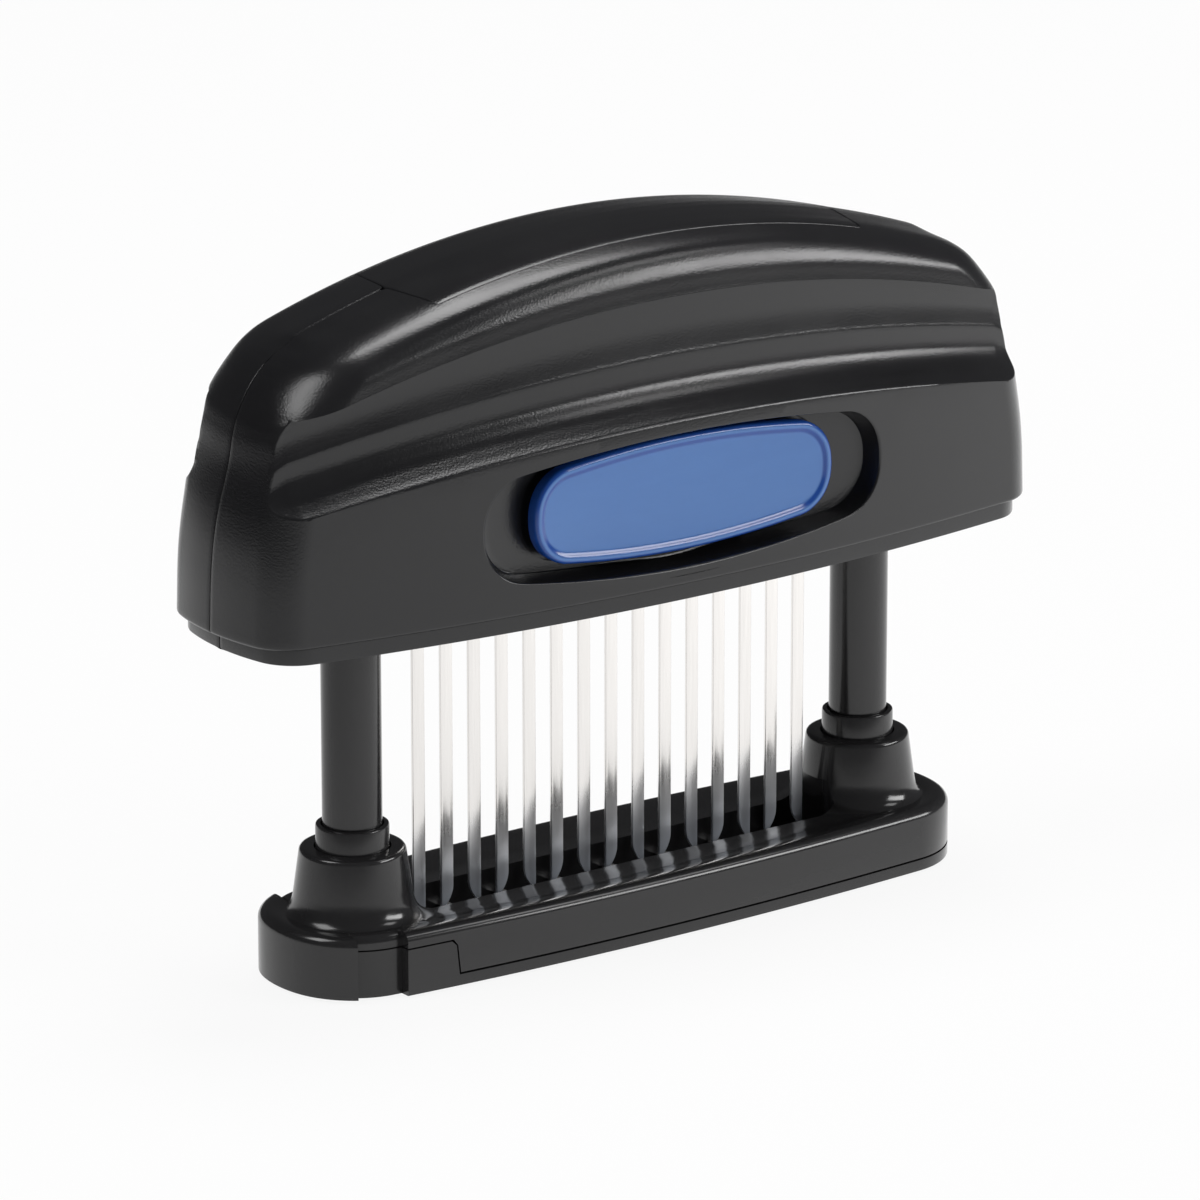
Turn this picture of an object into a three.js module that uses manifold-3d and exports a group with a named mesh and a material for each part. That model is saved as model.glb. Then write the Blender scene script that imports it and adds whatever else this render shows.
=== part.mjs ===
// Blade meat tenderizer: a press handle that slides down two columns and drives a row of
// blades through the slots of the base. Millimetres, +Z up, front face towards -Y, the
// origin at the middle of the underside.
import * as THREE from "three";
import { mergeVertices } from "three/addons/utils/BufferGeometryUtils.js";
import Module from "manifold-3d";

const wasm = await Module();
wasm.setup();

// Fits and common values
const gap = 0.3; // running clearance between neighbouring pieces
const clampGap = 0.15; // clearance on each side of a clamped blade
const overrun = 2; // how far a cut runs past the face it opens
const roundSteps = 20; // facets round a turned piece
const smallSteps = 12; // facets round a screw or a rivet
const edgeTurns = [0, Math.PI / 6, Math.PI / 3, Math.PI / 2]; // round a rounded top edge
const edgeShare = 1 - Math.SQRT1_2; // how far the middle of a rounded edge lies inside it

// Blades
const bladeCount = 15;
const bladePitch = 6;
const bladeWidth = 2.5;
const bladeThickness = 0.6;
const bladeTipZ = 7;
const bladeBevelHeight = 4.6;
const bladeHeadWidth = 4.2;
const bladeHeadHeight = 3;
const bladeHeadZ = 98.3;
const rowHalfLength = ((bladeCount - 1) / 2) * bladePitch; // to the middle of the last blade

// Base frame and bottom plate
const columnStandoff = 14.08; // from the last blade to the column
const columnX = rowHalfLength + columnStandoff;
const baseEndLength = 16.12; // from the column to the end of the base
const baseHalfLength = columnX + baseEndLength;
const baseHalfWidth = 19.5;
const baseSideRadius = 700;
const baseEndRadius = 24;
const baseCornerRadius = 15.5;
const baseEdgeZ = 9.75; // where the rounded top edge starts
const baseEdgeRadius = 1.9;
const baseCreaseInset = 7.9;
const baseTopZ = 10.4; // the shelf beside the trough, which the raised edge slopes down to
const baseWall = 2.2;
const plateThickness = 2.1;
const plateEdgeRadius = 0.35;
const troughEndLength = 4.4; // from the last blade to the end of the trough
const troughHalfLength = rowHalfLength + troughEndLength;
const troughHalfWidth = 5.8;
const barHalfLength = 1.25;
const barTopZ = 6;
const slotClearance = 0.7;
const slotHalfWidth = 1.6;

// Raised sides of the bottom plate, and the finger recess beside the end clip
const blockInset = 7.9; // from the tip of the base to the block
const blockLeftX = -baseHalfLength + blockInset;
const blockReach = 10.28; // from the column to the block's step
const blockRightX = -columnX + blockReach;
const blockSlope = 1.5;
const blockChamfer = 0.9;
const blockTopZ = 8.5;
const blockDepth = 4.3;
const recessReach = -0.12; // from the column to the end of the finger recess
const recessRightX = -columnX + recessReach;
const clipThickness = 1.8;
const clipFrontLength = 7.2;
const clipBackLength = 9;
const clipFrontX = -baseHalfLength + clipFrontLength;
const clipBackX = -baseHalfLength + clipBackLength;
const clipRimZ = 9;
const clipRimRadius = 11.9;
const clipTongueLength = 5;
const clipTongueWidth = 3;
const clipTongueY = 6.5;
const clipTongueRoot = 2.8; // from the tip of the base to where the tongues grow out of the wall
const clipTongueThickness = 2;
const clipTongueZ = 5.6;

// Bosses, columns and what is in them
const columnRadius = 5.32;
const columnBoreRadius = 3.9;
const columnFloor = 3;
const columnTopZ = 72;
const bossFlareRadius = 11.5;
const bossFlareHeight = 2.9;
const bossFootRadius = 10.35;
const bossTopRadius = 9.4;
const bossTopZ = 23.2;
const bossEdgeRadius = 0.4;
const socketFloorZ = 7.4;
const collarRadius = 6.53;
const collarTopZ = 27.38;
const collarHeight = 9;
const capFlangeHeight = 1;
const capFlangeRadius = 5.2;
const capPlugHeight = 2.4;
const columnScrewRadius = 1.2;
const columnScrewHeadRadius = 3;
const columnScrewHeadHeight = 1.5;
const columnScrewLength = 6;

// Spring plungers and return springs
const rodRadius = 1.9;
const plungerHeadRadius = 3.5;
const plungerHeadHeight = 2.8;
const plungerFlangeRadius = 6;
const plungerFlangeHeight = 2.4;
const plungerHeadroom = 6.1; // from the shelf's underside up to the shell over the flange
const shelfHeight = 1.8;
const shelfHalfLength = 6.4;
const springWireRadius = 0.55;
const springCoilRadius = 2.9;
const springTurns = 8;
const springSteps = 8;
const springSides = 5;

// Guide bushes in the handle's floor
const bushRadius = 7;
const bushFlangeRadius = 9;
const bushFlangeHeight = 2;
const bushTopZ = 80;

// Handle shells
const handleBottomZ = 64.2;
const handleEndLength = 29.12; // from the column to the end of the handle
const handleHalfLength = columnX + handleEndLength;
const handleHalfWidth = 24.7;
const handleSideRadius = 442;
const handleEndRadius = 50;
const handleCornerRadius = 8.5;
const skirtInset = 0.9;
const skirtEndInset = 2;
const skirtHeight = 3;
const shellEdge = 0.7;
const ledgeMidZ = 97.3;
const ledgeEndZ = 88.9;
const ledgeHalfWidth = 24.35;
const ledgeInset = 2;
const ledgeHalfLength = handleHalfLength - ledgeInset;
const shoulderMidZ = 118.9;
const shoulderEndZ = 108.4;
const shoulderHalfWidth = 19.3;
const shoulderInset = 7.8;
const shoulderHalfLength = handleHalfLength - shoulderInset;
const crestZ = 129;
const crestEndZ = 117.4;
const crestHalfWidth = 1.6;
const crestInset = 18.2;
const crestHalfLength = handleHalfLength - crestInset;
const shellWall = 2.4;
const floorThickness = 2.5;

// Grip grooves along both sides of the handle
const grooveInset = 2.6;
const grooveHalfLength = handleHalfLength - grooveInset;
const grooveEndRun = 3;
const grooveEndHeight = 0.6; // share of the groove's height left at its very ends
const grooveWallY = 19;
const grooveWallTopZ = 107.8;
const grooveWallBottomZ = 103.4;
const grooveWaistY = 17.4;
const grooveWaistZ = 112.8;
const grooveDrop = 8.3; // how far the groove falls from the middle to its ends
const grooveStations = 18;
const grooveFootShares = [[0.4, 0.14], [0.72, 0.38], [0.93, 0.7]]; // of its run and its rise

// Top cover
const coverEndLength = 6.2; // from the last blade to the cover's tip
const coverHalfLength = rowHalfLength + coverEndLength;
const coverEndPoint = 2.3;
const coverHalfWidth = 12.6;
const coverThickness = 2;
const coverLedge = 1.5;
const rimDepth = 5;

// Blade carrier under the cover
const carrierEndLength = 2.9;
const carrierHalfLength = rowHalfLength + carrierEndLength;
const carrierDepth = 4.5;
const carrierBottomZ = 91;
const carrierTopZ = 108;
const combHeight = 2;
const uprightX = 30;
const uprightHalfLength = 4;
const uprightHalfDepth = 3;
const socketDepth = 2.5;
const socketWall = 1.6;
const rivetRadius = 1.1;
const rivetHeadRadius = 1.9;
const rivetHeadHeight = 0.8;
const rivetShares = [-6.5, -2.5, 2.5, 6.5]; // of a blade pitch from the middle, between two blades
const ribThickness = 1.6;
const ribBottomZ = 82;
const ribTopZ = 112;
const shelfRibHeight = 2.4;

// Button recesses, buttons and latches
const recessHalfLength = 43;
const recessHalfHeight = 12.1;
const recessZ = 82.35;
const recessFloorY = 17.4;
const recessSideRadius = 250;
const recessEndRadius = 18;
const recessCornerRadius = 9;
const recessWall = 2;
const buttonHalfLength = 32.4;
const buttonHalfHeight = 10.5;
const buttonZ = 83;
const buttonSideRadius = 185;
const buttonEndRadius = 14;
const buttonCornerRadius = 8;
const buttonFaceY = 22.6;
const buttonThickness = 2.6;
const buttonDish = 0.45;
const buttonRim = 1.7;
const buttonRimShare = 0.2; // of the dish, reached at the inside of the rim
const buttonEdge = 0.7;
const buttonTravel = 2.4;
const stemRadius = 1.9;
const stemX = 10;
const cupRadius = 3.7;
const cupDepth = 1.2;
const buttonSpringRadius = 3;
const buttonSpringWire = 0.3;
const buttonSpringTurns = 3;
const latchHalfLength = 14;
const latchHalfHeight = 4.5;
const latchThickness = 1.6;
const latchArmWidth = 2.2;
const latchArmHeight = 2.6;
const latchArmTopZ = 90;
const latchArmShares = [0.5, -1.5]; // of a blade pitch from the middle, between two blades
const latchHookThickness = 1.6;
const latchToothZ = 94;
const latchToothHeight = 2;
const latchToothDepth = 1.1;

// Screws that join the two shells, from the back
const lowScrewReach = 13.92; // from the column, towards the end of the handle
const lowScrewZ = 78;
const highScrewReach = 12.92;
const highScrewZ = 99;
const shellScrewPlaces = [
  [-columnX - lowScrewReach, lowScrewZ],
  [columnX + lowScrewReach, lowScrewZ],
  [-columnX - highScrewReach, highScrewZ],
  [columnX + highScrewReach, highScrewZ],
];
const shellScrewRadius = 1.3;
const shellScrewHeadRadius = 2.5;
const shellScrewHeadHeight = 1.8;
const shellScrewHeadY = 9.5;
const shellScrewReach = 8;
const shellBossRadius = 4.2;

// Plastics and metals, as the object shows them
const blackSatin = { color: 0x1b1c1e, roughness: 0.45, metalness: 0 };
const blackGloss = { color: 0x141516, roughness: 0.18, metalness: 0 };
const bluePlastic = { color: 0x4a7cc0, roughness: 0.2, metalness: 0 };
const whitePlastic = { color: 0xd9d6cc, roughness: 0.5, metalness: 0 };
const steel = { color: 0xc4c3bf, roughness: 0.3, metalness: 1 };
const springSteel = { color: 0x8d8f92, roughness: 0.35, metalness: 1 };

// Solids

function solidOf(geometry) {
  const bare = new THREE.BufferGeometry();
  bare.setAttribute("position", geometry.getAttribute("position").clone());
  if (geometry.index) bare.setIndex(geometry.index.clone());
  const merged = mergeVertices(bare, 1e-4);
  const vertProperties = new Float32Array(merged.attributes.position.array);
  const triVerts = new Uint32Array(merged.index.array);
  return new wasm.Manifold(new wasm.Mesh({ numProp: 3, vertProperties, triVerts }));
}

function geometryOf(solid) {
  const mesh = solid.getMesh();
  const position = new THREE.BufferAttribute(Float32Array.from(mesh.vertProperties), 3);
  const geometry = new THREE.BufferGeometry();
  geometry.setAttribute("position", position);
  geometry.setIndex(new THREE.BufferAttribute(Uint32Array.from(mesh.triVerts), 1));
  geometry.computeVertexNormals();
  return geometry;
}

function join(solids) {
  return solids.reduce((whole, solid) => whole.add(solid));
}

function cut(solid, cutters) {
  return cutters.reduce((rest, cutter) => rest.subtract(cutter), solid);
}

function mixed(from, to, share) {
  return from + (to - from) * share;
}

// A box between two corners
function box(x0, x1, y0, y1, z0, z1) {
  const geometry = new THREE.BoxGeometry(x1 - x0, y1 - y0, z1 - z0);
  return solidOf(geometry.translate((x0 + x1) / 2, (y0 + y1) / 2, (z0 + z1) / 2));
}

// A turned piece about a vertical axis; the profile runs upwards from axis to axis
function turned(profile, x, steps = roundSteps) {
  const points = profile.map(([r, z]) => new THREE.Vector2(r, z));
  const geometry = new THREE.LatheGeometry(points, steps);
  geometry.rotateX(Math.PI / 2);
  return solidOf(geometry.translate(x, 0, 0));
}

function cylinder(radius, z0, z1, x, steps = roundSteps) {
  return turned([[0, z0], [radius, z0], [radius, z1], [0, z1]], x, steps);
}

function tube(inner, outer, z0, z1, x) {
  return turned([[inner, z0], [outer, z0], [outer, z1], [inner, z1], [inner, z0]], x);
}

// A turned piece about an axis along Y, from y0 to y1
function crossCylinder(radius, x, z, y0, y1, steps = smallSteps) {
  const geometry = new THREE.CylinderGeometry(radius, radius, y1 - y0, steps);
  return solidOf(geometry.translate(x, (y0 + y1) / 2, z));
}

// A closed outline of bowed sides and ends joined by corner arcs, anticlockwise from (length, 0).
// The side arcs are centred on the short axis and the end arcs on the long one.
function roundedOutline({ length, width, side, end, corner }) {
  const sideCentre = width - side;
  const endCentre = length - end;
  const a = side - corner;
  const b = end - corner;
  const apart = Math.hypot(endCentre, sideCentre);
  const along = (a * a - b * b + apart * apart) / (2 * apart);
  const across = Math.sqrt(Math.max(a * a - along * along, 0));
  const ux = endCentre / apart;
  const uy = -sideCentre / apart;
  const cx = ux * along + uy * across;
  const cy = sideCentre + uy * along - ux * across;
  const endAngle = Math.atan2(cy, cx - endCentre);
  const sideAngle = Math.atan2(cy - sideCentre, cx);
  const quarter = [];
  const arc = (x, y, r, from, to, steps) => {
    for (let i = 0; i < steps; i++) {
      const angle = from + ((to - from) * i) / steps;
      quarter.push([x + r * Math.cos(angle), y + r * Math.sin(angle)]);
    }
  };
  arc(endCentre, 0, end, 0, endAngle, 2);
  arc(cx, cy, corner, endAngle, sideAngle, 5);
  arc(0, sideCentre, side, sideAngle, Math.PI / 2, 6);
  const top = [0, width];
  const left = quarter.map(([x, y]) => [-x, y]).reverse();
  const upper = [...quarter, top, ...left];
  const lower = upper.slice(1, -1).map(([x, y]) => [x, -y]).reverse();
  return [...upper, ...lower];
}

// Rings of equal point counts, skinned from the lowest to the highest and closed by strips
function loft(rings) {
  const count = rings[0].length;
  const vertices = rings.flat().flat();
  const faces = [];
  for (let r = 0; r + 1 < rings.length; r++) {
    for (let i = 0; i < count; i++) {
      const j = (i + 1) % count;
      const a = r * count + i;
      const b = r * count + j;
      faces.push(a, b, b + count, a, b + count, a + count);
    }
  }
  const last = (rings.length - 1) * count;
  const mirrored = (i) => (count - i) % count;
  for (let i = 0; i < count / 2; i++) {
    const quad = [i, i + 1, mirrored(i + 1), mirrored(i)];
    const lower = [quad[0], quad[3], quad[2], quad[0], quad[2], quad[1]];
    const upper = [quad[0], quad[1], quad[2], quad[0], quad[2], quad[3]];
    const keep = (list, from) => {
      for (let k = 0; k < 6; k += 3) {
        const corners = list.slice(k, k + 3);
        if (new Set(corners).size === 3) faces.push(...corners.map((c) => from + c));
      }
    };
    keep(lower, 0);
    keep(upper, last);
  }
  const geometry = new THREE.BufferGeometry();
  geometry.setAttribute("position", new THREE.Float32BufferAttribute(vertices, 3));
  geometry.setIndex(faces);
  return solidOf(geometry);
}

// A ring of a lofted body: the outline at heights that fall from the middle to the ends
function ring(shape, midZ, endZ = midZ) {
  return roundedOutline(shape).map(([x, y]) => {
    const fall = (x / shape.length) ** 2;
    return [x, y, midZ - (midZ - endZ) * fall];
  });
}

// A plan outline pushed along Y between two depths, on the side given by sign
function pushedOutline(shape, centreZ, sign, y0, y1) {
  const outline = roundedOutline(shape).map(([x, z]) => new THREE.Vector2(x, z + centreZ));
  const depth = y1 - y0;
  const extruded = new THREE.ExtrudeGeometry(new THREE.Shape(outline), {
    depth,
    bevelEnabled: false,
  });
  extruded.rotateX(Math.PI / 2);
  return solidOf(extruded.translate(0, sign > 0 ? y1 : -y0, 0));
}

// Colour and place

const tenderizer = new THREE.Group();
tenderizer.name = "blade_tenderizer";

function add(name, solid, finish) {
  const mesh = new THREE.Mesh(geometryOf(solid), new THREE.MeshStandardMaterial(finish));
  mesh.name = name;
  tenderizer.add(mesh);
}

const sides = [
  ["left", -columnX],
  ["right", columnX],
];
const faces = [
  ["front", -1],
  ["back", 1],
];

// Base

const baseShape = (inset = 0) => ({
  length: baseHalfLength - inset,
  width: baseHalfWidth - inset,
  side: baseSideRadius - inset,
  end: baseEndRadius - inset,
  corner: baseCornerRadius - inset,
});

// The whole base block, from the bottom plate to the top
function baseBlock() {
  const rounding = edgeTurns.map((turn) => {
    const inset = baseEdgeRadius * (1 - Math.cos(turn));
    return ring(baseShape(inset), baseEdgeZ + baseEdgeRadius * Math.sin(turn));
  });
  return loft([
    ring(baseShape(plateEdgeRadius), 0),
    ring(baseShape(), plateEdgeRadius),
    ...rounding,
    ring(baseShape(baseCreaseInset), baseTopZ),
  ]);
}

// A straight wall of the base's outline, for cuts
function baseCore(inset, z0, z1) {
  return loft([ring(baseShape(inset), z0), ring(baseShape(inset), z1)]);
}

// The part of the base that the raised plate sides take, seen from the front
function blockPrism(grow) {
  const shape = new THREE.Shape([
    new THREE.Vector2(blockLeftX - overrun, -overrun),
    new THREE.Vector2(blockRightX + grow, -overrun),
    new THREE.Vector2(blockRightX + grow, plateThickness),
    new THREE.Vector2(blockRightX - blockSlope + blockChamfer + grow, blockTopZ - blockChamfer),
    new THREE.Vector2(blockRightX - blockSlope + grow, blockTopZ + grow),
    new THREE.Vector2(blockLeftX - overrun, blockTopZ + grow),
  ]);
  const reach = 2 * (baseHalfWidth + overrun);
  const geometry = new THREE.ExtrudeGeometry(shape, { depth: reach, bevelEnabled: false });
  geometry.rotateX(Math.PI / 2);
  return solidOf(geometry.translate(0, reach / 2, 0));
}

const outerBase = baseBlock();
const farLeft = -baseHalfLength - overrun;
const wide = baseHalfWidth + overrun;
const tall = baseEdgeZ + baseEdgeRadius + overrun;
const leftEnd = box(farLeft, recessRightX, -wide, wide, -overrun, tall);
const pulledIn = leftEnd.subtract(baseCore(clipThickness + gap, -2 * overrun, tall + overrun));

function bossProfile() {
  const footZ = baseTopZ + bossFlareHeight;
  const flareShare = 2 / 3;
  return [
    [0, socketFloorZ],
    [bossFlareRadius, socketFloorZ],
    [bossFlareRadius, baseTopZ],
    [mixed(bossFlareRadius, bossFootRadius, flareShare), mixed(baseTopZ, footZ, 1 - flareShare)],
    [bossFootRadius, footZ],
    [bossTopRadius, bossTopZ - bossEdgeRadius],
    [bossTopRadius - bossEdgeRadius, bossTopZ],
    [0, bossTopZ],
  ];
}

// The space that the end clip takes, with its rim over the top and around the boss
function clipSpace(grow) {
  const reach = join([
    box(farLeft, clipFrontX + grow, -wide, 0, gap - grow, tall),
    box(farLeft, clipBackX + grow, -grow, wide, gap - grow, tall),
  ]);
  const wall = baseCore(clipThickness + grow, -2 * overrun, clipRimZ - grow);
  const rimZ = clipRimZ - grow;
  const opening = cylinder(clipRimRadius - grow, rimZ - overrun, tall + overrun, -columnX);
  return cut(reach, [wall, opening]);
}

function makeBaseFrame() {
  const undersideZ = plateThickness + gap;
  const under = box(farLeft, -farLeft, -wide, wide, -overrun, undersideZ);
  const posts = sides.map(([, x]) => cylinder(bossTopRadius, 0, baseEdgeZ + overrun, x));
  const tx = troughHalfLength + baseWall;
  const ty = troughHalfWidth + baseWall;
  const hollow = baseCore(baseWall, undersideZ - overrun, baseEdgeZ);
  const blockInner = baseCore(blockDepth + gap + baseWall, undersideZ - overrun, baseEdgeZ);
  const blockSpan = box(farLeft, blockRightX + baseWall, -wide, wide, -overrun, tall);
  const openHollow = join([hollow.subtract(blockSpan), blockInner.intersect(blockSpan)]);
  const kept = [box(-tx, tx, -ty, ty, -overrun, tall), ...posts];
  const sideBlocks = blockPrism(gap).subtract(
    baseCore(blockDepth + gap, -2 * overrun, tall + overrun),
  );
  const body = cut(outerBase, [under, pulledIn, clipSpace(gap), sideBlocks]);
  const hollowed = body.subtract(cut(openHollow, kept));
  const trough = box(
    -troughHalfLength,
    troughHalfLength,
    -troughHalfWidth,
    troughHalfWidth,
    -overrun,
    tall,
  );
  const bars = [];
  for (let i = 2; i < bladeCount; i += 2) {
    const middle = bladeX(i) - bladePitch / 2;
    bars.push(box(middle - barHalfLength, middle + barHalfLength, -ty, ty, undersideZ, barTopZ));
  }
  const bosses = sides.map(([, x]) => turned(bossProfile(), x));
  const bossed = join([hollowed, ...bosses]).subtract(trough);
  const cuts = [];
  for (const [, x] of sides) {
    const top = bossTopZ + overrun;
    cuts.push(cylinder(columnRadius + gap, socketFloorZ, top, x));
    cuts.push(cylinder(collarRadius + gap, collarTopZ - collarHeight - gap, top, x));
    cuts.push(cylinder(columnScrewRadius + gap, 0, socketFloorZ + overrun, x, smallSteps));
    const headTop = undersideZ + columnScrewHeadHeight + gap;
    cuts.push(cylinder(columnScrewHeadRadius + gap, 0, headTop, x, smallSteps));
  }
  for (const [, sign] of faces) cuts.push(tongueSlot(sign));
  return cut(join([bossed, ...bars]), cuts);
}

// The slots in the bottom: each takes a pair of blades, and the last one the odd blade
function slotSpans() {
  const reach = bladeWidth / 2 + slotClearance;
  const spans = [];
  for (let i = 0; i < bladeCount; i += 2) {
    const last = Math.min(i + 1, bladeCount - 1);
    spans.push([bladeX(i) - reach, bladeX(last) + reach]);
  }
  return spans;
}

function tongue(sign, grow, x0, x1) {
  const halfY = clipTongueWidth / 2 + grow;
  const halfZ = clipTongueThickness / 2 + grow;
  const y = sign * clipTongueY;
  return box(x0, x1, y - halfY, y + halfY, clipTongueZ - halfZ, clipTongueZ + halfZ);
}

function tongueSlot(sign) {
  return tongue(sign, gap, farLeft, -baseHalfLength + clipThickness + clipTongueLength + gap);
}

function makeBottomPlate() {
  const lower = box(farLeft, -farLeft, -wide, wide, -overrun, plateThickness);
  const raised = box(farLeft, -farLeft, -wide, wide, 0, blockTopZ);
  const walls = blockPrism(0)
    .intersect(raised)
    .subtract(baseCore(blockDepth, -2 * overrun, tall + overrun))
    .subtract(box(farLeft, blockLeftX, -wide, wide, plateThickness, tall));
  const flat = outerBase.intersect(lower);
  const plate = join([flat, outerBase.intersect(walls)]).subtract(pulledIn);
  const slots = slotSpans().map(([from, to]) =>
    box(from, to, -slotHalfWidth, slotHalfWidth, -overrun, tall),
  );
  return cut(plate, slots);
}

function makeEndClip() {
  const shell = outerBase.intersect(clipSpace(0));
  const start = -baseHalfLength + clipTongueRoot;
  const tongues = faces.map(([, sign]) =>
    tongue(sign, 0, start, -baseHalfLength + clipThickness + clipTongueLength),
  );
  return join([shell, ...tongues]);
}

function makeColumn(x) {
  const footZ = socketFloorZ + gap;
  const boreFloorZ = footZ + columnFloor;
  const pilotTopZ = boreFloorZ + overrun;
  const bar = cylinder(columnRadius, footZ, columnTopZ, x);
  return cut(bar, [
    cylinder(columnBoreRadius, boreFloorZ, columnTopZ + overrun, x),
    cylinder(columnScrewRadius + gap, 0, pilotTopZ, x, smallSteps),
  ]);
}

function makeColumnCap(x) {
  const bore = rodRadius + gap;
  const plug = columnBoreRadius - gap;
  const flangeZ = columnTopZ + gap;
  return turned(
    [
      [bore, columnTopZ - capPlugHeight],
      [plug, columnTopZ - capPlugHeight],
      [plug, flangeZ],
      [capFlangeRadius, flangeZ],
      [capFlangeRadius, flangeZ + capFlangeHeight],
      [bore, flangeZ + capFlangeHeight],
      [bore, columnTopZ - capPlugHeight],
    ],
    x,
  );
}

function makeCollar(x) {
  return tube(columnRadius + gap, collarRadius, collarTopZ - collarHeight, collarTopZ, x);
}

function makeColumnScrew(x) {
  const z0 = plateThickness + gap;
  const neckZ = z0 + columnScrewHeadHeight;
  const topZ = neckZ + columnScrewLength;
  return turned(
    [
      [0, z0],
      [columnScrewHeadRadius, z0],
      [columnScrewHeadRadius, neckZ],
      [columnScrewRadius, neckZ],
      [columnScrewRadius, topZ],
      [0, topZ],
    ],
    x,
    smallSteps,
  );
}

// Handle

const endBowShare = 3; // most of the ends' radius, in widths, where the plan is narrow
const cornerBowShare = 0.75;

const handleShape = (length, width, side = handleSideRadius, corner = handleCornerRadius) => ({
  length,
  width,
  side,
  end: Math.min(handleEndRadius, endBowShare * width),
  corner: Math.min(corner, cornerBowShare * width),
});

// The handle's rings above the skirt: how far each lies from one named ring to the next, as
// shares of height at the middle, height at the ends, length and width; then the side bow and
// the corner as shares of the handle's
const lowerShares = [
  [0, 0, 0, 0, 1, 1],
  [0.45, 0.45, 0.3, 0.4, 1, 1],
  [1, 1, 1, 1, 1, 1],
];
const upperShares = [
  [0.5, 0.5, 0.52, 0.3, 1.3, 1.1],
  [0.78, 0.78, 0.8, 0.68, 1.9, 1.2],
  [1, 1, 1, 1, 2.8, 1.3],
];
const crownShares = [
  [0.36, 0.29, 0.17, 0.055, 4, 1.4],
  [0.65, 0.5, 0.34, 0.17, 8, 1.45],
  [0.87, 0.67, 0.5, 0.38, 40, 1.4],
  [0.965, 0.84, 0.7, 0.68, 60, 1.1],
  [1, 1, 1, 1, 80, 1],
];

function sharedRings(shares, from, to, inset, drop) {
  return shares.map((ringShares) => {
    const [midShare, endShare, lengthShare, widthShare, sideShare, cornerShare] = ringShares;
    const mix = (key, share) => mixed(from[key], to[key], share);
    const length = mix("length", lengthShare) - inset;
    const width = Math.max(mix("width", widthShare) - inset, crestHalfWidth);
    const side = handleSideRadius * sideShare;
    const lowered = drop * mix("drop", midShare);
    const midZ = mix("midZ", midShare) - lowered;
    const endZ = mix("endZ", endShare) - lowered;
    return ring(handleShape(length, width, side, handleCornerRadius * cornerShare), midZ, endZ);
  });
}

// The handle's outer body without its grooves, drawn in by an inset
function handleBody(inset, bottomZ, withSkirt) {
  const skirtTopZ = handleBottomZ + skirtHeight;
  const wall = { length: handleHalfLength, width: handleHalfWidth, drop: 0 };
  wall.midZ = skirtTopZ + shellEdge;
  wall.endZ = wall.midZ;
  const ledge = { length: ledgeHalfLength, width: ledgeHalfWidth, drop: 0 };
  ledge.midZ = ledgeMidZ;
  ledge.endZ = ledgeEndZ;
  const shoulder = { length: shoulderHalfLength, width: shoulderHalfWidth, drop: 0 };
  shoulder.midZ = shoulderMidZ;
  shoulder.endZ = shoulderEndZ;
  const crest = { length: crestHalfLength, width: crestHalfWidth, drop: 1 };
  crest.midZ = crestZ;
  crest.endZ = crestEndZ;
  const skirt = handleShape(
    handleHalfLength - skirtEndInset - inset,
    handleHalfWidth - skirtInset - inset,
  );
  const hem = handleShape(
    handleHalfLength - shellEdge - inset,
    handleHalfWidth - shellEdge - inset,
  );
  const start = withSkirt
    ? [ring(skirt, bottomZ), ring(skirt, skirtTopZ), ring(hem, skirtTopZ)]
    : [ring(skirt, bottomZ), ring(skirt, skirtTopZ)];
  const rings = [
    ...start,
    ...sharedRings(lowerShares, wall, ledge, inset, 0),
    ...sharedRings(upperShares, ledge, shoulder, inset, 0),
    ...sharedRings(crownShares, shoulder, crest, inset, inset),
  ];
  return loft(rings);
}

// One side's grip groove as a solid to cut away, grown into the handle by an amount
function grooveCutter(sign, grow) {
  const ledgeY = ledgeHalfWidth;
  const openY = handleHalfWidth + 2 * overrun;
  const wallY = grooveWallY - grow;
  const waistY = grooveWaistY - grow;
  const ledgeRun = ledgeY - grooveWallY;
  const ledgeRise = grooveWallBottomZ - ledgeMidZ;
  const foot = grooveFootShares.map(([run, rise]) => [
    ledgeY - grow - ledgeRun * run,
    ledgeMidZ + ledgeRise * rise - grow,
  ]);
  const profile = [
    [openY, ledgeMidZ - grow],
    [ledgeY, ledgeMidZ - grow],
    ...foot,
    [wallY, grooveWallBottomZ],
    [wallY, grooveWallTopZ],
    [mixed(wallY, waistY, 1 / 2), mixed(grooveWallTopZ, grooveWaistZ, 1 / 2)],
    [waistY, grooveWaistZ],
    [shoulderHalfWidth - grow, shoulderMidZ],
    [openY, shoulderMidZ],
  ];
  const half = grooveHalfLength + grow;
  const middleZ = (ledgeMidZ + shoulderMidZ) / 2;
  const rows = [];
  for (let i = 0; i <= grooveStations; i++) {
    const share = -Math.cos((Math.PI * i) / grooveStations);
    const x = half * share;
    const bow = x * x / (2 * handleSideRadius);
    const fall = grooveDrop * (x / grooveHalfLength) ** 2;
    const fromEnd = Math.min((half - Math.abs(x)) / grooveEndRun, 1);
    const depthShare = Math.sqrt(Math.max(1 - (1 - fromEnd) ** 2, 0));
    const heightShare = grooveEndHeight + (1 - grooveEndHeight) * depthShare;
    rows.push(
      profile.map(([y, z]) => {
        const inner = y - bow;
        const surface = ledgeY - bow + gap;
        const depth = Math.max(surface - inner, 0);
        const placed = inner > surface ? inner : surface - depth * depthShare;
        return [x, sign * placed, middleZ + (z - middleZ) * heightShare - fall];
      }),
    );
  }
  return strips(rows, sign > 0);
}

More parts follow.
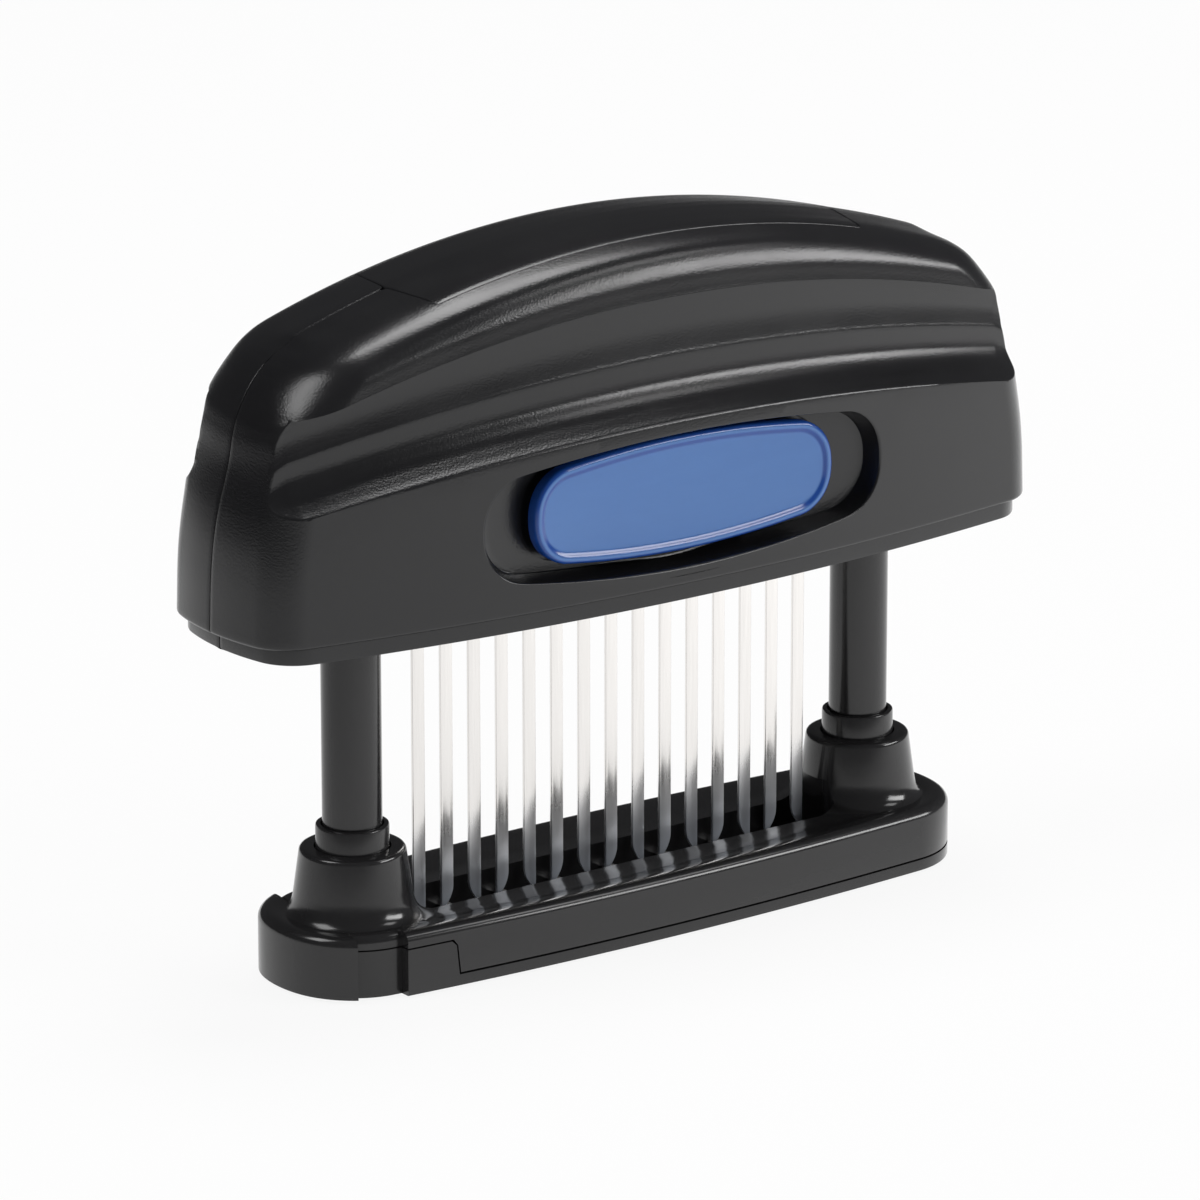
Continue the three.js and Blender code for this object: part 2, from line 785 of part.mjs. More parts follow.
// Rows of equal point counts skinned into one closed solid, with fans on the first and last
function strips(rows, flip) {
  const count = rows[0].length;
  const vertices = rows.flat().flat();
  const triangles = [];
  for (let r = 0; r + 1 < rows.length; r++) {
    for (let i = 0; i < count; i++) {
      const j = (i + 1) % count;
      const a = r * count + i;
      const b = r * count + j;
      triangles.push([a, b, b + count], [a, b + count, a + count]);
    }
  }
  const last = (rows.length - 1) * count;
  for (let i = 1; i + 1 < count; i++) {
    triangles.push([0, i + 1, i], [last, last + i, last + i + 1]);
  }
  const ordered = triangles.map(([a, b, c]) => (flip ? [a, c, b] : [a, b, c]));
  const geometry = new THREE.BufferGeometry();
  geometry.setAttribute("position", new THREE.Float32BufferAttribute(vertices, 3));
  geometry.setIndex(ordered.flat());
  return solidOf(geometry);
}

// The cover's plan, a long panel with shallow pointed ends, as an upright prism
function coverPrism(grow, z0, z1) {
  const tip = coverHalfLength + grow;
  const corner = coverHalfLength - coverEndPoint + grow;
  const half = coverHalfWidth + grow;
  const shape = new THREE.Shape([
    new THREE.Vector2(tip, 0),
    new THREE.Vector2(corner, half),
    new THREE.Vector2(-corner, half),
    new THREE.Vector2(-tip, 0),
    new THREE.Vector2(-corner, -half),
    new THREE.Vector2(corner, -half),
  ]);
  const geometry = new THREE.ExtrudeGeometry(shape, { depth: z1 - z0, bevelEnabled: false });
  return solidOf(geometry.translate(0, 0, z0));
}

const buttonShape = (inset = 0) => ({
  length: buttonHalfLength - inset,
  width: buttonHalfHeight - inset,
  side: buttonSideRadius - inset,
  end: buttonEndRadius - inset,
  corner: buttonCornerRadius - inset,
});

const recessShape = (grow = 0) => ({
  length: recessHalfLength + grow,
  width: recessHalfHeight + grow,
  side: recessSideRadius + grow,
  end: recessEndRadius + grow,
  corner: recessCornerRadius + grow,
});

const body = handleBody(0, handleBottomZ, true);
const topZ = crestZ + overrun;
const underCover = (depth) => body.translate([0, 0, -depth]);

function makeShellPair() {
  const floorZ = handleBottomZ + floorThickness;
  const cavity = handleBody(shellWall, floorZ, false);
  const reach = handleHalfLength + overrun;
  const depth = handleHalfWidth + overrun;
  const solidParts = [
    ...faces.map(([, sign]) => grooveCutter(sign, shellWall)),
    ...faces.map(([, sign]) => {
      const inner = recessFloorY - recessWall;
      return pushedOutline(recessShape(recessWall), recessZ, sign, inner, depth);
    }),
    coverPrism(rimDepth / 2, carrierTopZ, topZ).subtract(underCover(rimDepth)),
    ...carrierRibs(),
    ...plungerShelves(),
    ...screwBosses(),
  ];
  const hollow = cut(cavity, solidParts);
  const grooved = cut(body, faces.map(([, sign]) => grooveCutter(sign, 0)));
  const openings = [
    coverPrism(gap, carrierTopZ, topZ).subtract(underCover(coverThickness + gap)),
    openingBox(),
    box(
      -bladeX(bladeCount - 1) - bladePitch / 2,
      bladeX(bladeCount - 1) + bladePitch / 2,
      -bladeThickness * 2,
      bladeThickness * 2,
      handleBottomZ - overrun,
      floorZ + overrun,
    ),
    ...sides.map(([, x]) => cylinder(bushRadius + gap, handleBottomZ - overrun, floorZ + gap, x)),
    ...sides.map(([, x]) => cylinder(rodRadius + gap, shelfZ - gap, shelfZ + shelfHeight + gap, x)),
    ...faces.map(([, sign]) => pushedOutline(recessShape(), recessZ, sign, recessFloorY, depth)),
    ...stemHoles(),
    ...screwHoles(),
  ];
  const whole = cut(grooved.subtract(hollow), openings);
  const split = gap / 2;
  const front = whole.intersect(box(-reach, reach, -depth, -split, 0, topZ));
  const back = whole.intersect(box(-reach, reach, split, depth, 0, topZ));
  return [front, back];
}

// The opening that the carrier passes through
function openingBox() {
  const x = carrierHalfLength + gap;
  const y = coverHalfWidth - coverLedge;
  return box(-x, x, -y, y, carrierTopZ + 2 * gap, topZ);
}

// Ribs that stop the carrier endways, each with a shelf under it
function carrierRibs() {
  const inner = carrierHalfLength + gap;
  const outer = inner + ribThickness;
  const depth = handleHalfWidth;
  const bladeEnd = bladeX(bladeCount - 1) + bladeWidth / 2 + gap;
  const shelfTop = carrierBottomZ - gap;
  return [-1, 1].flatMap((end) => {
    const [r0, r1] = end < 0 ? [-outer, -inner] : [inner, outer];
    const [s0, s1] = end < 0 ? [-outer, -bladeEnd] : [bladeEnd, outer];
    return [
      box(r0, r1, -depth, depth, ribBottomZ, ribTopZ),
      box(s0, s1, -depth, depth, shelfTop - shelfRibHeight, shelfTop),
    ];
  });
}

const shelfZ = crestAt(columnX + plungerFlangeRadius) - shellWall - plungerHeadroom;

// Shelves that carry the flanges of the spring plungers
function plungerShelves() {
  const depth = handleHalfWidth;
  return sides.map(([, x]) =>
    box(x - shelfHalfLength, x + shelfHalfLength, -depth, depth, shelfZ, shelfZ + shelfHeight),
  );
}

function screwBosses() {
  const depth = handleHalfWidth;
  return shellScrewPlaces.map(([x, z]) => crossCylinder(shellBossRadius, x, z, -depth, depth));
}

function screwHoles() {
  const depth = handleHalfWidth + overrun;
  const headBottom = shellScrewHeadY - gap;
  return shellScrewPlaces.flatMap(([x, z]) => [
    crossCylinder(shellScrewRadius + gap, x, z, -shellScrewReach - gap, depth),
    crossCylinder(shellScrewHeadRadius + gap, x, z, headBottom, depth),
  ]);
}

function makeShellScrew([x, z]) {
  const headTop = shellScrewHeadY + shellScrewHeadHeight;
  return join([
    crossCylinder(shellScrewHeadRadius, x, z, shellScrewHeadY, headTop),
    crossCylinder(shellScrewRadius, x, z, -shellScrewReach, shellScrewHeadY),
  ]);
}

function stemHoles() {
  const inner = recessFloorY - recessWall - overrun / 2;
  const outer = recessFloorY + overrun / 2;
  return faces.flatMap(([, sign]) => {
    const [y0, y1] = sign < 0 ? [-outer, -inner] : [inner, outer];
    return [-stemX, stemX].map((x) => crossCylinder(stemRadius + gap, x, buttonZ, y0, y1));
  });
}

function makeBush(x) {
  const bore = columnRadius + gap;
  const z0 = handleBottomZ + gap;
  const flangeZ = handleBottomZ + floorThickness + gap;
  return turned(
    [
      [bore, z0],
      [bushRadius, z0],
      [bushRadius, flangeZ],
      [bushFlangeRadius, flangeZ],
      [bushFlangeRadius, flangeZ + bushFlangeHeight],
      [bushRadius, flangeZ + bushFlangeHeight],
      [bushRadius, bushTopZ],
      [bore, bushTopZ],
      [bore, z0],
    ],
    x,
  );
}

const plungerHeadTop = columnTopZ - capPlugHeight - gap;
const plungerHeadZ = plungerHeadTop - plungerHeadHeight;

function makePlunger(x) {
  const flangeZ = shelfZ + shelfHeight + gap;
  return turned(
    [
      [0, plungerHeadZ],
      [plungerHeadRadius, plungerHeadZ],
      [plungerHeadRadius, plungerHeadTop],
      [rodRadius, plungerHeadTop],
      [rodRadius, flangeZ],
      [plungerFlangeRadius, flangeZ],
      [plungerFlangeRadius, flangeZ + plungerFlangeHeight],
      [0, flangeZ + plungerFlangeHeight],
    ],
    x,
  );
}

// An open coil about an axis, as one closed tube: rings of sides, skinned and capped
function coil({ radius, wire, turns, length, steps, sides: count }) {
  const rise = length - 2 * wire;
  const rings = [];
  for (let i = 0; i <= turns * steps; i++) {
    const angle = (2 * Math.PI * i) / steps;
    const z = wire + (rise * i) / (turns * steps);
    const row = [];
    for (let k = 0; k < count; k++) {
      const around = (2 * Math.PI * k) / count;
      const r = radius + wire * Math.cos(around);
      row.push([r * Math.cos(angle), r * Math.sin(angle), z + wire * Math.sin(around)]);
    }
    rings.push(row);
  }
  return strips(rings, true);
}

function makeReturnSpring(x) {
  const z0 = socketFloorZ + columnFloor + 2 * gap;
  const spring = coil({
    radius: springCoilRadius,
    wire: springWireRadius,
    turns: springTurns,
    length: plungerHeadZ - gap - z0,
    steps: springSteps,
    sides: springSides,
  });
  return spring.translate([x, 0, z0]);
}

// Buttons and their latches

function makeButton(sign) {
  const backY = buttonFaceY - buttonThickness;
  const rows = [
    [0, backY],
    [0, buttonFaceY - buttonEdge],
    [buttonEdge * edgeShare, buttonFaceY - buttonEdge * edgeShare],
    [buttonEdge, buttonFaceY],
    [buttonRim, buttonFaceY - buttonDish * buttonRimShare],
    [buttonRim + buttonDish, buttonFaceY - buttonDish],
  ];
  const rings = rows.map(([inset, y]) =>
    roundedOutline(buttonShape(inset)).map(([x, z]) => [x, z, y]),
  );
  const plate = loft(rings).rotate([90, 0, 0]);
  const facing = sign < 0 ? plate : plate.mirror([0, 1, 0]);
  const raised = facing.translate([0, 0, buttonZ]);
  const stemEnd = recessFloorY - recessWall;
  const stems = [-stemX, stemX].map((x) => {
    const [y0, y1] = sign < 0 ? [-backY - gap, -stemEnd] : [stemEnd, backY + gap];
    return crossCylinder(stemRadius, x, buttonZ, y0, y1);
  });
  const cupOpen = backY - overrun;
  const cup = sign < 0 ? [-backY - cupDepth, -cupOpen] : [cupOpen, backY + cupDepth];
  return join([raised, ...stems]).subtract(crossCylinder(cupRadius, 0, buttonZ, ...cup));
}

function makeButtonSpring(sign) {
  const innerY = recessFloorY + gap;
  const outerY = buttonFaceY - buttonThickness + cupDepth - gap;
  const spring = coil({
    radius: buttonSpringRadius,
    wire: buttonSpringWire,
    turns: buttonSpringTurns,
    length: outerY - innerY,
    steps: springSteps,
    sides: springSides,
  });
  const turnedOver = spring.rotate([sign < 0 ? 90 : -90, 0, 0]);
  return turnedOver.translate([0, sign * innerY, buttonZ]);
}

// A latch plate behind the recess, with arms that pass between the blades and hook the
// carrier from its far side, so pressing the button frees it
function makeLatch(sign) {
  const outerY = recessFloorY - recessWall - gap;
  const innerY = outerY - latchThickness;
  const hookInner = carrierDepth + gap;
  const hookOuter = hookInner + latchHookThickness;
  const armBottomZ = latchArmTopZ - latchArmHeight;
  const plate = [
    box(
      -latchHalfLength,
      latchHalfLength,
      -outerY,
      -innerY,
      buttonZ - latchHalfHeight,
      latchArmTopZ,
    ),
  ];
  for (const share of latchArmShares) {
    const x0 = share * bladePitch - latchArmWidth / 2;
    const x1 = x0 + latchArmWidth;
    const toothTopZ = latchToothZ + latchToothHeight / 2;
    plate.push(box(x0, x1, -outerY, hookOuter, armBottomZ, latchArmTopZ));
    plate.push(box(x0, x1, hookInner, hookOuter, armBottomZ, toothTopZ));
    plate.push(
      box(x0, x1, hookInner - latchToothDepth, hookOuter, toothTopZ - latchToothHeight, toothTopZ),
    );
  }
  const latch = join(plate);
  return sign < 0 ? latch : latch.rotate([0, 0, 180]);
}

// Blades and what holds them

function bladeX(i) {
  return (i - (bladeCount - 1) / 2) * bladePitch;
}

// A flat blade with a wide head and a tip rounded off on one side; neighbours face each other
function makeBlade(i) {
  const half = bladeWidth / 2;
  const head = bladeHeadWidth / 2;
  const lean = i % 2 === 0 ? 1 : -1;
  const neckZ = bladeHeadZ;
  const topZ = bladeHeadZ + bladeHeadHeight;
  const shape = new THREE.Shape();
  shape.moveTo(lean * half, bladeTipZ);
  shape.lineTo(lean * half, neckZ);
  shape.lineTo(lean * head, neckZ);
  shape.lineTo(lean * head, topZ);
  shape.lineTo(-lean * head, topZ);
  shape.lineTo(-lean * head, neckZ);
  shape.lineTo(-lean * half, neckZ);
  shape.lineTo(-lean * half, bladeTipZ + bladeBevelHeight);
  shape.quadraticCurveTo(-lean * half, bladeTipZ + bladeBevelHeight / 2, lean * half, bladeTipZ);
  const geometry = new THREE.ExtrudeGeometry(shape, {
    depth: bladeThickness,
    bevelEnabled: false,
    curveSegments: 4,
  });
  geometry.rotateX(Math.PI / 2);
  return solidOf(geometry.translate(bladeX(i), bladeThickness / 2, 0));
}

const clampY = bladeThickness / 2 + clampGap;

function rivetHoles() {
  const reach = carrierDepth + overrun;
  return rivetShares.map((share) =>
    crossCylinder(rivetRadius + gap, share * bladePitch, rivetZ, -reach, reach),
  );
}

const rivetZ = bladeHeadZ + bladeHeadHeight + combHeight + gap;

// Grooves for the latch teeth in the carrier's outer face, open downwards
function toothPockets(sign) {
  return latchArmShares.map((share) => {
    const x = sign * share * bladePitch;
    const half = latchArmWidth / 2 + gap;
    const deep = carrierDepth - latchToothDepth;
    const [y0, y1] = sign < 0 ? [-carrierDepth - overrun, -deep] : [deep, carrierDepth + overrun];
    const toothTop = latchToothZ + latchToothHeight / 2 + gap;
    return box(x - half, x + half, y0, y1, carrierBottomZ - overrun, toothTop);
  });
}

function rivetSeats(sign) {
  const deep = carrierDepth - rivetHeadHeight - gap;
  return rivetShares.map((share) => {
    const [y0, y1] = sign < 0 ? [-carrierDepth - overrun, -deep] : [deep, carrierDepth + overrun];
    return crossCylinder(rivetHeadRadius + gap, share * bladePitch, rivetZ, y0, y1);
  });
}

function makeCarrierFront() {
  const x = carrierHalfLength;
  const block = box(-x, x, -carrierDepth, -clampY, carrierBottomZ, carrierTopZ);
  return cut(block, [...rivetHoles(), ...toothPockets(-1), ...rivetSeats(-1)]);
}

// The rear half carries the comb that the blade heads hang on, and the uprights of the cover
function makeCarrierBack() {
  const x = carrierHalfLength;
  const combTop = bladeHeadZ - gap;
  const combBottom = combTop - combHeight;
  const railBottom = bladeHeadZ + bladeHeadHeight + gap;
  const pieces = [
    box(-x, x, clampY, carrierDepth, carrierBottomZ, carrierTopZ),
    box(-x, x, -clampY + gap, clampY + overrun, railBottom, railBottom + combHeight / 2),
  ];
  const neck = bladeWidth / 2 + gap;
  for (let i = 0; i <= bladeCount; i++) {
    const from = i === 0 ? -x : bladeX(i - 1) + neck;
    const to = i === bladeCount ? x : bladeX(i) - neck;
    pieces.push(box(from, to, -clampY + gap, clampY + overrun, combBottom, combTop));
  }
  for (const end of [-1, 1]) {
    const ux = end * uprightX;
    pieces.push(
      box(
        ux - uprightHalfLength,
        ux + uprightHalfLength,
        clampY,
        uprightHalfDepth,
        carrierTopZ - overrun,
        uprightTopZ(),
      ),
    );
  }
  return cut(join(pieces), [...rivetHoles(), ...toothPockets(1), ...rivetSeats(1)]);
}

// The height of the handle's crest line at a distance from the middle
function crestAt(x) {
  return crestZ - (crestZ - crestEndZ) * (x / crestHalfLength) ** 2;
}

function uprightTopZ() {
  return crestAt(uprightX + uprightHalfLength) - coverThickness - 3 * gap;
}

function makeRivet(share) {
  const x = share * bladePitch;
  const seat = carrierDepth - rivetHeadHeight;
  return join([
    crossCylinder(rivetRadius, x, rivetZ, -seat, seat),
    crossCylinder(rivetHeadRadius, x, rivetZ, -carrierDepth, -seat),
    crossCylinder(rivetHeadRadius, x, rivetZ, seat, carrierDepth),
  ]);
}

// The cover closes flush in the crest; sockets under it take the carrier's uprights
function makeTopCover() {
  const panel = coverPrism(0, carrierTopZ, topZ)
    .intersect(body)
    .subtract(underCover(coverThickness));
  const walls = [-1, 1].map((end) => {
    const x = end * uprightX;
    const halfX = uprightHalfLength + gap;
    const y0 = clampY - gap;
    const y1 = uprightHalfDepth + gap;
    const z0 = uprightTopZ() - socketDepth;
    const outer = box(
      x - halfX - socketWall,
      x + halfX + socketWall,
      y0 - socketWall,
      y1 + socketWall,
      z0,
      topZ,
    );
    const inner = box(x - halfX, x + halfX, y0, y1, z0 - overrun, uprightTopZ() + gap);
    return outer.intersect(underCover(coverThickness / 2)).subtract(inner);
  });
  return join([panel, ...walls]);
}

// Assembly

add("base_frame", makeBaseFrame(), blackGloss);
add("bottom_plate", makeBottomPlate(), blackGloss);
add("end_clip", makeEndClip(), blackGloss);
for (const [side, x] of sides) {
  add(`column_${side}`, makeColumn(x), blackGloss);
  add(`column_cap_${side}`, makeColumnCap(x), whitePlastic);
  add(`column_collar_${side}`, makeCollar(x), blackGloss);
  add(`column_screw_${side}`, makeColumnScrew(x), springSteel);
  add(`guide_bush_${side}`, makeBush(x), whitePlastic);
  add(`spring_plunger_${side}`, makePlunger(x), springSteel);
  add(`return_spring_${side}`, makeReturnSpring(x), springSteel);
}
const [frontShell, backShell] = makeShellPair();
add("front_shell", frontShell, blackSatin);
add("back_shell", backShell, blackSatin);
shellScrewPlaces.forEach((place, i) => {
  add(`shell_screw_${i + 1}`, makeShellScrew(place), springSteel);
});
for (const [face, sign] of faces) {
  add(`button_${face}`, makeButton(sign), bluePlastic);
  add(`button_spring_${face}`, makeButtonSpring(sign), springSteel);
  add(`latch_${face}`, makeLatch(sign), whitePlastic);
}
add("top_cover", makeTopCover(), blackSatin);
add("carrier_front", makeCarrierFront(), whitePlastic);
add("carrier_back", makeCarrierBack(), whitePlastic);
rivetShares.forEach((share, i) => {
  add(`carrier_rivet_${i + 1}`, makeRivet(share), steel);
});
for (let i = 0; i < bladeCount; i++) {
  add(`blade_${String(i + 1).padStart(2, "0")}`, makeBlade(i), steel);
}

export default tenderizer;
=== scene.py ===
"""Looks of the blade meat tenderizer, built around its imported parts. Shapes are drawn in
millimetres, with the front face towards -Y, and scaled to metres as each piece is finished."""

import math

import bmesh
import bpy
import numpy as np
from mathutils import Matrix, Vector


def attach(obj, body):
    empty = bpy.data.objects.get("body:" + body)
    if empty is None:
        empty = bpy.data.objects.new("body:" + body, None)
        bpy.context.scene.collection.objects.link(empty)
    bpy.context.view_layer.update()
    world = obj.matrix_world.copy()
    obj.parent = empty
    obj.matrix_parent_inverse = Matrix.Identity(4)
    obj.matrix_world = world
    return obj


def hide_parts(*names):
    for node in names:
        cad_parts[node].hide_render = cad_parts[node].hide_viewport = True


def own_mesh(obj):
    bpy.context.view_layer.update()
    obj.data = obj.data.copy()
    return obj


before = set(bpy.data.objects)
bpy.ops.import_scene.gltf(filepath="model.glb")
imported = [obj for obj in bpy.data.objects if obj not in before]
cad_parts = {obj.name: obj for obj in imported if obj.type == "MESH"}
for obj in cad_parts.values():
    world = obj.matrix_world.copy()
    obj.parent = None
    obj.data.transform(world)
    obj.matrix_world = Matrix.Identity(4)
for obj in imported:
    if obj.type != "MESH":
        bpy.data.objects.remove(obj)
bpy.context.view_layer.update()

MM = 0.001
WELD = 1e-4  # corners nearer than this become one
SHARP = 35  # an edge stays sharp from this angle on, in degrees
PART_LINE = 0.06  # half the gap between the two shells

# Handle, from the skirt up
SKIRT_Z = 64.2
SKIRT_BACK = (2, 0.9)  # how far the skirt is set back at the ends and the sides
HEM_Z = 67.2
HEM_ROUND = 0.8
HALF_LENGTH = 85.2
HALF_WIDTH = 24.7
SIDE_BOW = 442.0
END_BOW = 50.0
CORNER = 8.5
COVER_LENGTH = 48.2
COVER_POINT = 2.3
COVER_WIDTH = 12.6
COVER_GAP = 0.18

# Recess and button
RECESS = {"length": 43.0, "width": 12.1, "side": 250.0, "end": 18.0, "corner": 9.0}
RECESS_Z = 82.65
RECESS_FLOOR = 17.4
RECESS_DISH = 2.1  # how much shallower the floor is at its ends
RECESS_SLOPE = 1.5  # how far the ends of the recess lean inwards
RECESS_RIM = 0.45
RECESS_FOOT = 0.3
BUTTON = {"length": 32.4, "width": 10.5, "side": 185.0, "end": 14.0, "corner": 8.0}
BUTTON_Z = 83.3
BUTTON_FACE = 22.6
BUTTON_BACK = 19.85
BUTTON_PLAY = 0.35

# Springs of the buttons and of the handle
SPRING_Z = 83.0
SPRING_INNER, SPRING_OUTER = 17.715, 20.885
SPRING_SEAT_R = 3.8
COIL_LOW, COIL_HIGH = 11.03, 66.17

# Base
BASE = {"length": 72.2, "width": 19.5, "side": 700.0, "end": 24.0, "corner": 15.5}
BASE_EDGE_Z = 9.75
BASE_EDGE = 1.9
SHELF_Z = 10.4
CREASE = 7.9
PLATE_TOP = 2.1
TROUGH_LENGTH = 46.4
TROUGH_WIDTH = 5.8
BLOCK = {"left": -64.3, "right": -45.8, "slope": 1.5, "chamfer": 0.9, "top": 8.5, "depth": 4.3}
RECESS_RIGHT = -56.2  # where the finger recess ends
CLIP = {"thickness": 1.8, "front": -65.0, "back": -63.2, "rim_z": 9.0, "rim_radius": 11.9}
PLAY = 0.3  # between mouldings that fit into each other
FAR, WIDE = 75.0, 22.0  # past the base's ends and sides
UNDER, OVER = -2, 16  # below and above the base

# Columns, screws and blades
COLUMN_X = 56.08
COLUMN_R = 5.32
COLUMN = [(0, 7.7), (COLUMN_R, 7.7), (COLUMN_R, 71.6), (COLUMN_R - 0.4, 72), (3.9, 72),
          (3.9, 10.7), (0, 10.7)]
COLLAR = [(5.62, 18.4), (6.53, 18.4), (6.53, 27.0), (6.42, 27.28), (6.15, 27.38), (5.62, 27.38),
          (5.62, 18.4)]
BOSS_BOTTOM, BOSS_TOP = 7, 23.2
BOSS_FOOT = [(14.4, -0.04), (13.4, 0.22), (12.6, 0.55), (11.9, 1.05), (11.35, 1.75),
             (10.95, 2.65), (10.65, 3.8), (10.45, 5.2)]  # radius, and height over the shelf
BOSS_RIM = [(9.52, 22.3), (9.44, 22.7), (9.25, 22.98), (8.95, 23.15), (8.6, BOSS_TOP)]
COLUMN_FOOT_Z = 7.4
COLLAR_SEAT_R, COLLAR_SEAT_Z = 6.83, 18.08
SCREWS = [(70.0, 78.0), (69.0, 99.0)]
SCREW_BOSS_R, SCREW_HEAD_R, SCREW_HOLE_R = 4.2, 2.8, 1.6
SCREW_SEAT = 9.2  # how deep the heads sit, from the parting line
BUSH_R = 7.0
SLOT_LENGTH, SLOT_WIDTH = 45, 1.2  # of the opening for the blades under the handle
BLADES = 15
PITCH = 6.0


# Bmesh helpers

def finish_mesh(bm, name, angle=SHARP):
    """Merges doubles, turns the faces outwards and makes an object in metres."""
    bmesh.ops.remove_doubles(bm, verts=bm.verts, dist=WELD)
    bmesh.ops.recalc_face_normals(bm, faces=bm.faces)
    bmesh.ops.scale(bm, vec=(MM, MM, MM), verts=bm.verts)
    mesh = bpy.data.meshes.new(name)
    bm.to_mesh(mesh)
    bm.free()
    mesh.shade_smooth()
    mesh.set_sharp_from_angle(angle=math.radians(angle))
    piece = bpy.data.objects.new(name, mesh)
    bpy.context.scene.collection.objects.link(piece)
    return piece


def settle(piece, angle=SHARP):
    """Applies a piece's modifiers to its mesh."""
    bpy.context.view_layer.update()
    graph = bpy.context.evaluated_depsgraph_get()
    mesh = bpy.data.meshes.new_from_object(piece.evaluated_get(graph))
    piece.modifiers.clear()
    piece.data = mesh
    mesh.shade_smooth()
    mesh.set_sharp_from_angle(angle=math.radians(angle))
    return piece


def carve(piece, tools, operation="DIFFERENCE"):
    """Cuts tools away from a piece, or joins or intersects them, and removes the tools."""
    for cutter in tools:
        modifier = piece.modifiers.new(operation.lower(), "BOOLEAN")
        modifier.operation = operation
        modifier.solver = "EXACT"
        modifier.object = cutter
    settle(piece)
    for cutter in tools:
        bpy.data.objects.remove(cutter)
    return piece


def ease_edges(piece, width):
    """Rounds a piece's sharp edges with a small bevel, in millimetres."""
    modifier = piece.modifiers.new("edges", "BEVEL")
    modifier.width = width * MM
    modifier.segments = 2
    modifier.limit_method = "ANGLE"
    modifier.angle_limit = math.radians(30)
    modifier.miter_outer = "MITER_ARC"
    modifier.harden_normals = False
    return settle(piece, 45)


def skin(rows, closed_columns=False, closed_rows=False):
    """A sheet of quads whose corners are rows of points."""
    rows = [np.asarray(row, float) for row in rows]
    if closed_columns:
        rows = [np.vstack([row, row[:1]]) for row in rows]
    if closed_rows:
        rows.append(rows[0])
    columns = len(rows[0]) - 1
    bm = bmesh.new()
    bmesh.ops.create_grid(bm, x_segments=columns, y_segments=len(rows) - 1, size=0.5)
    column = bm.verts.layers.int.new("column")
    level = bm.verts.layers.int.new("level")
    for v in bm.verts:
        i = round((v.co.x + 0.5) * columns)
        j = round((v.co.y + 0.5) * (len(rows) - 1))
        v[column], v[level] = i, j
        v.co = rows[j][i]
    return bm


def cap(bm):
    """Closes every open loop with one face."""
    bmesh.ops.remove_doubles(bm, verts=bm.verts, dist=WELD)
    open_edges = [e for e in bm.edges if e.is_boundary]
    bmesh.ops.holes_fill(bm, edges=open_edges, sides=0)


def turned(profile, x=0.0, steps=96):
    """A turned solid about a vertical axis, from a profile of radius and height."""
    bm = bmesh.new()
    verts = [bm.verts.new((x + r, 0, z)) for r, z in profile]
    edges = [bm.edges.new(pair) for pair in zip(verts, verts[1:])]
    bmesh.ops.spin(bm, geom=verts + edges, cent=(x, 0, 0), axis=(0, 0, 1),
                   angle=2 * math.pi, steps=steps, use_merge=True)
    return bm


def block(x0, x1, y0, y1, z0, z1):
    """A square block between its low and high sides."""
    bm = bmesh.new()
    bmesh.ops.create_cube(bm, size=1)
    bmesh.ops.scale(bm, vec=(x1 - x0, y1 - y0, z1 - z0), verts=bm.verts)
    middle = ((x0 + x1) / 2, (y0 + y1) / 2, (z0 + z1) / 2)
    bmesh.ops.translate(bm, vec=middle, verts=bm.verts)
    return bm


def prism(points, push):
    """A flat polygon pushed along a vector."""
    bm = bmesh.new()
    face = bm.faces.new([bm.verts.new(p) for p in points])
    made = bmesh.ops.extrude_face_region(bm, geom=[face])
    new = [g for g in made["geom"] if isinstance(g, bmesh.types.BMVert)]
    bmesh.ops.translate(bm, vec=push, verts=new)
    return bm


def cylinder(radius, x, z0, z1, steps=64):
    """An upright round bar."""
    return turned([(0, z0), (radius, z0), (radius, z1), (0, z1)], x, steps)


def turn_about(bm, angle, axis):
    turn = Matrix.Rotation(angle, 3, axis)
    bmesh.ops.rotate(bm, cent=(0, 0, 0), matrix=turn, verts=bm.verts)


def face_out(bm, face, z):
    """Turns a form drawn upwards so that it looks out of the front or the back, at a height."""
    turn = Matrix.Rotation(math.pi / 2, 3, "X")
    if face == "back":
        turn = Matrix.Rotation(math.pi, 3, "Z") @ turn
    bmesh.ops.rotate(bm, cent=(0, 0, 0), matrix=turn, verts=bm.verts)
    bmesh.ops.translate(bm, vec=(0, 0, z), verts=bm.verts)


def tool(bm, name="tool"):
    """A form that cuts another or is cut further."""
    return finish_mesh(bm, name)


# Outlines and levels

def arc(cx, cy, r, start, end, steps):
    """Points along a part of a circle, without the last one."""
    turn = start + (end - start) * np.arange(steps) / steps
    return np.column_stack([cx + r * np.cos(turn), cy + r * np.sin(turn)])


def quarter(shape, steps):
    """From the tip of the end to the middle of the side, over end, corner and side arcs."""
    length, width = shape["length"], shape["width"]
    side, end, corner = shape["side"], shape["end"], shape["corner"]
    side_y, end_x = width - side, length - end
    a, b = side - corner, end - corner
    apart = math.hypot(end_x, side_y)
    along = (a * a - b * b + apart * apart) / (2 * apart)
    across = math.sqrt(max(a * a - along * along, 0))
    ux, uy = end_x / apart, -side_y / apart
    cx = ux * along + uy * across
    cy = side_y + uy * along - ux * across
    end_turn = math.atan2(cy, cx - end_x)
    side_turn = math.atan2(cy - side_y, cx)
    return np.vstack([
        arc(end_x, 0, end, 0, end_turn, steps[0]),
        arc(cx, cy, corner, end_turn, side_turn, steps[1]),
        arc(0, side_y, side, side_turn, math.pi / 2, steps[2]),
        [(0, width)],
    ])


def half_outline(shape, steps):
    """From the left tip round the front to the right tip."""
    points = quarter(shape, steps)
    return np.vstack([points * (-1, -1), (points * (1, -1))[::-1][1:]])


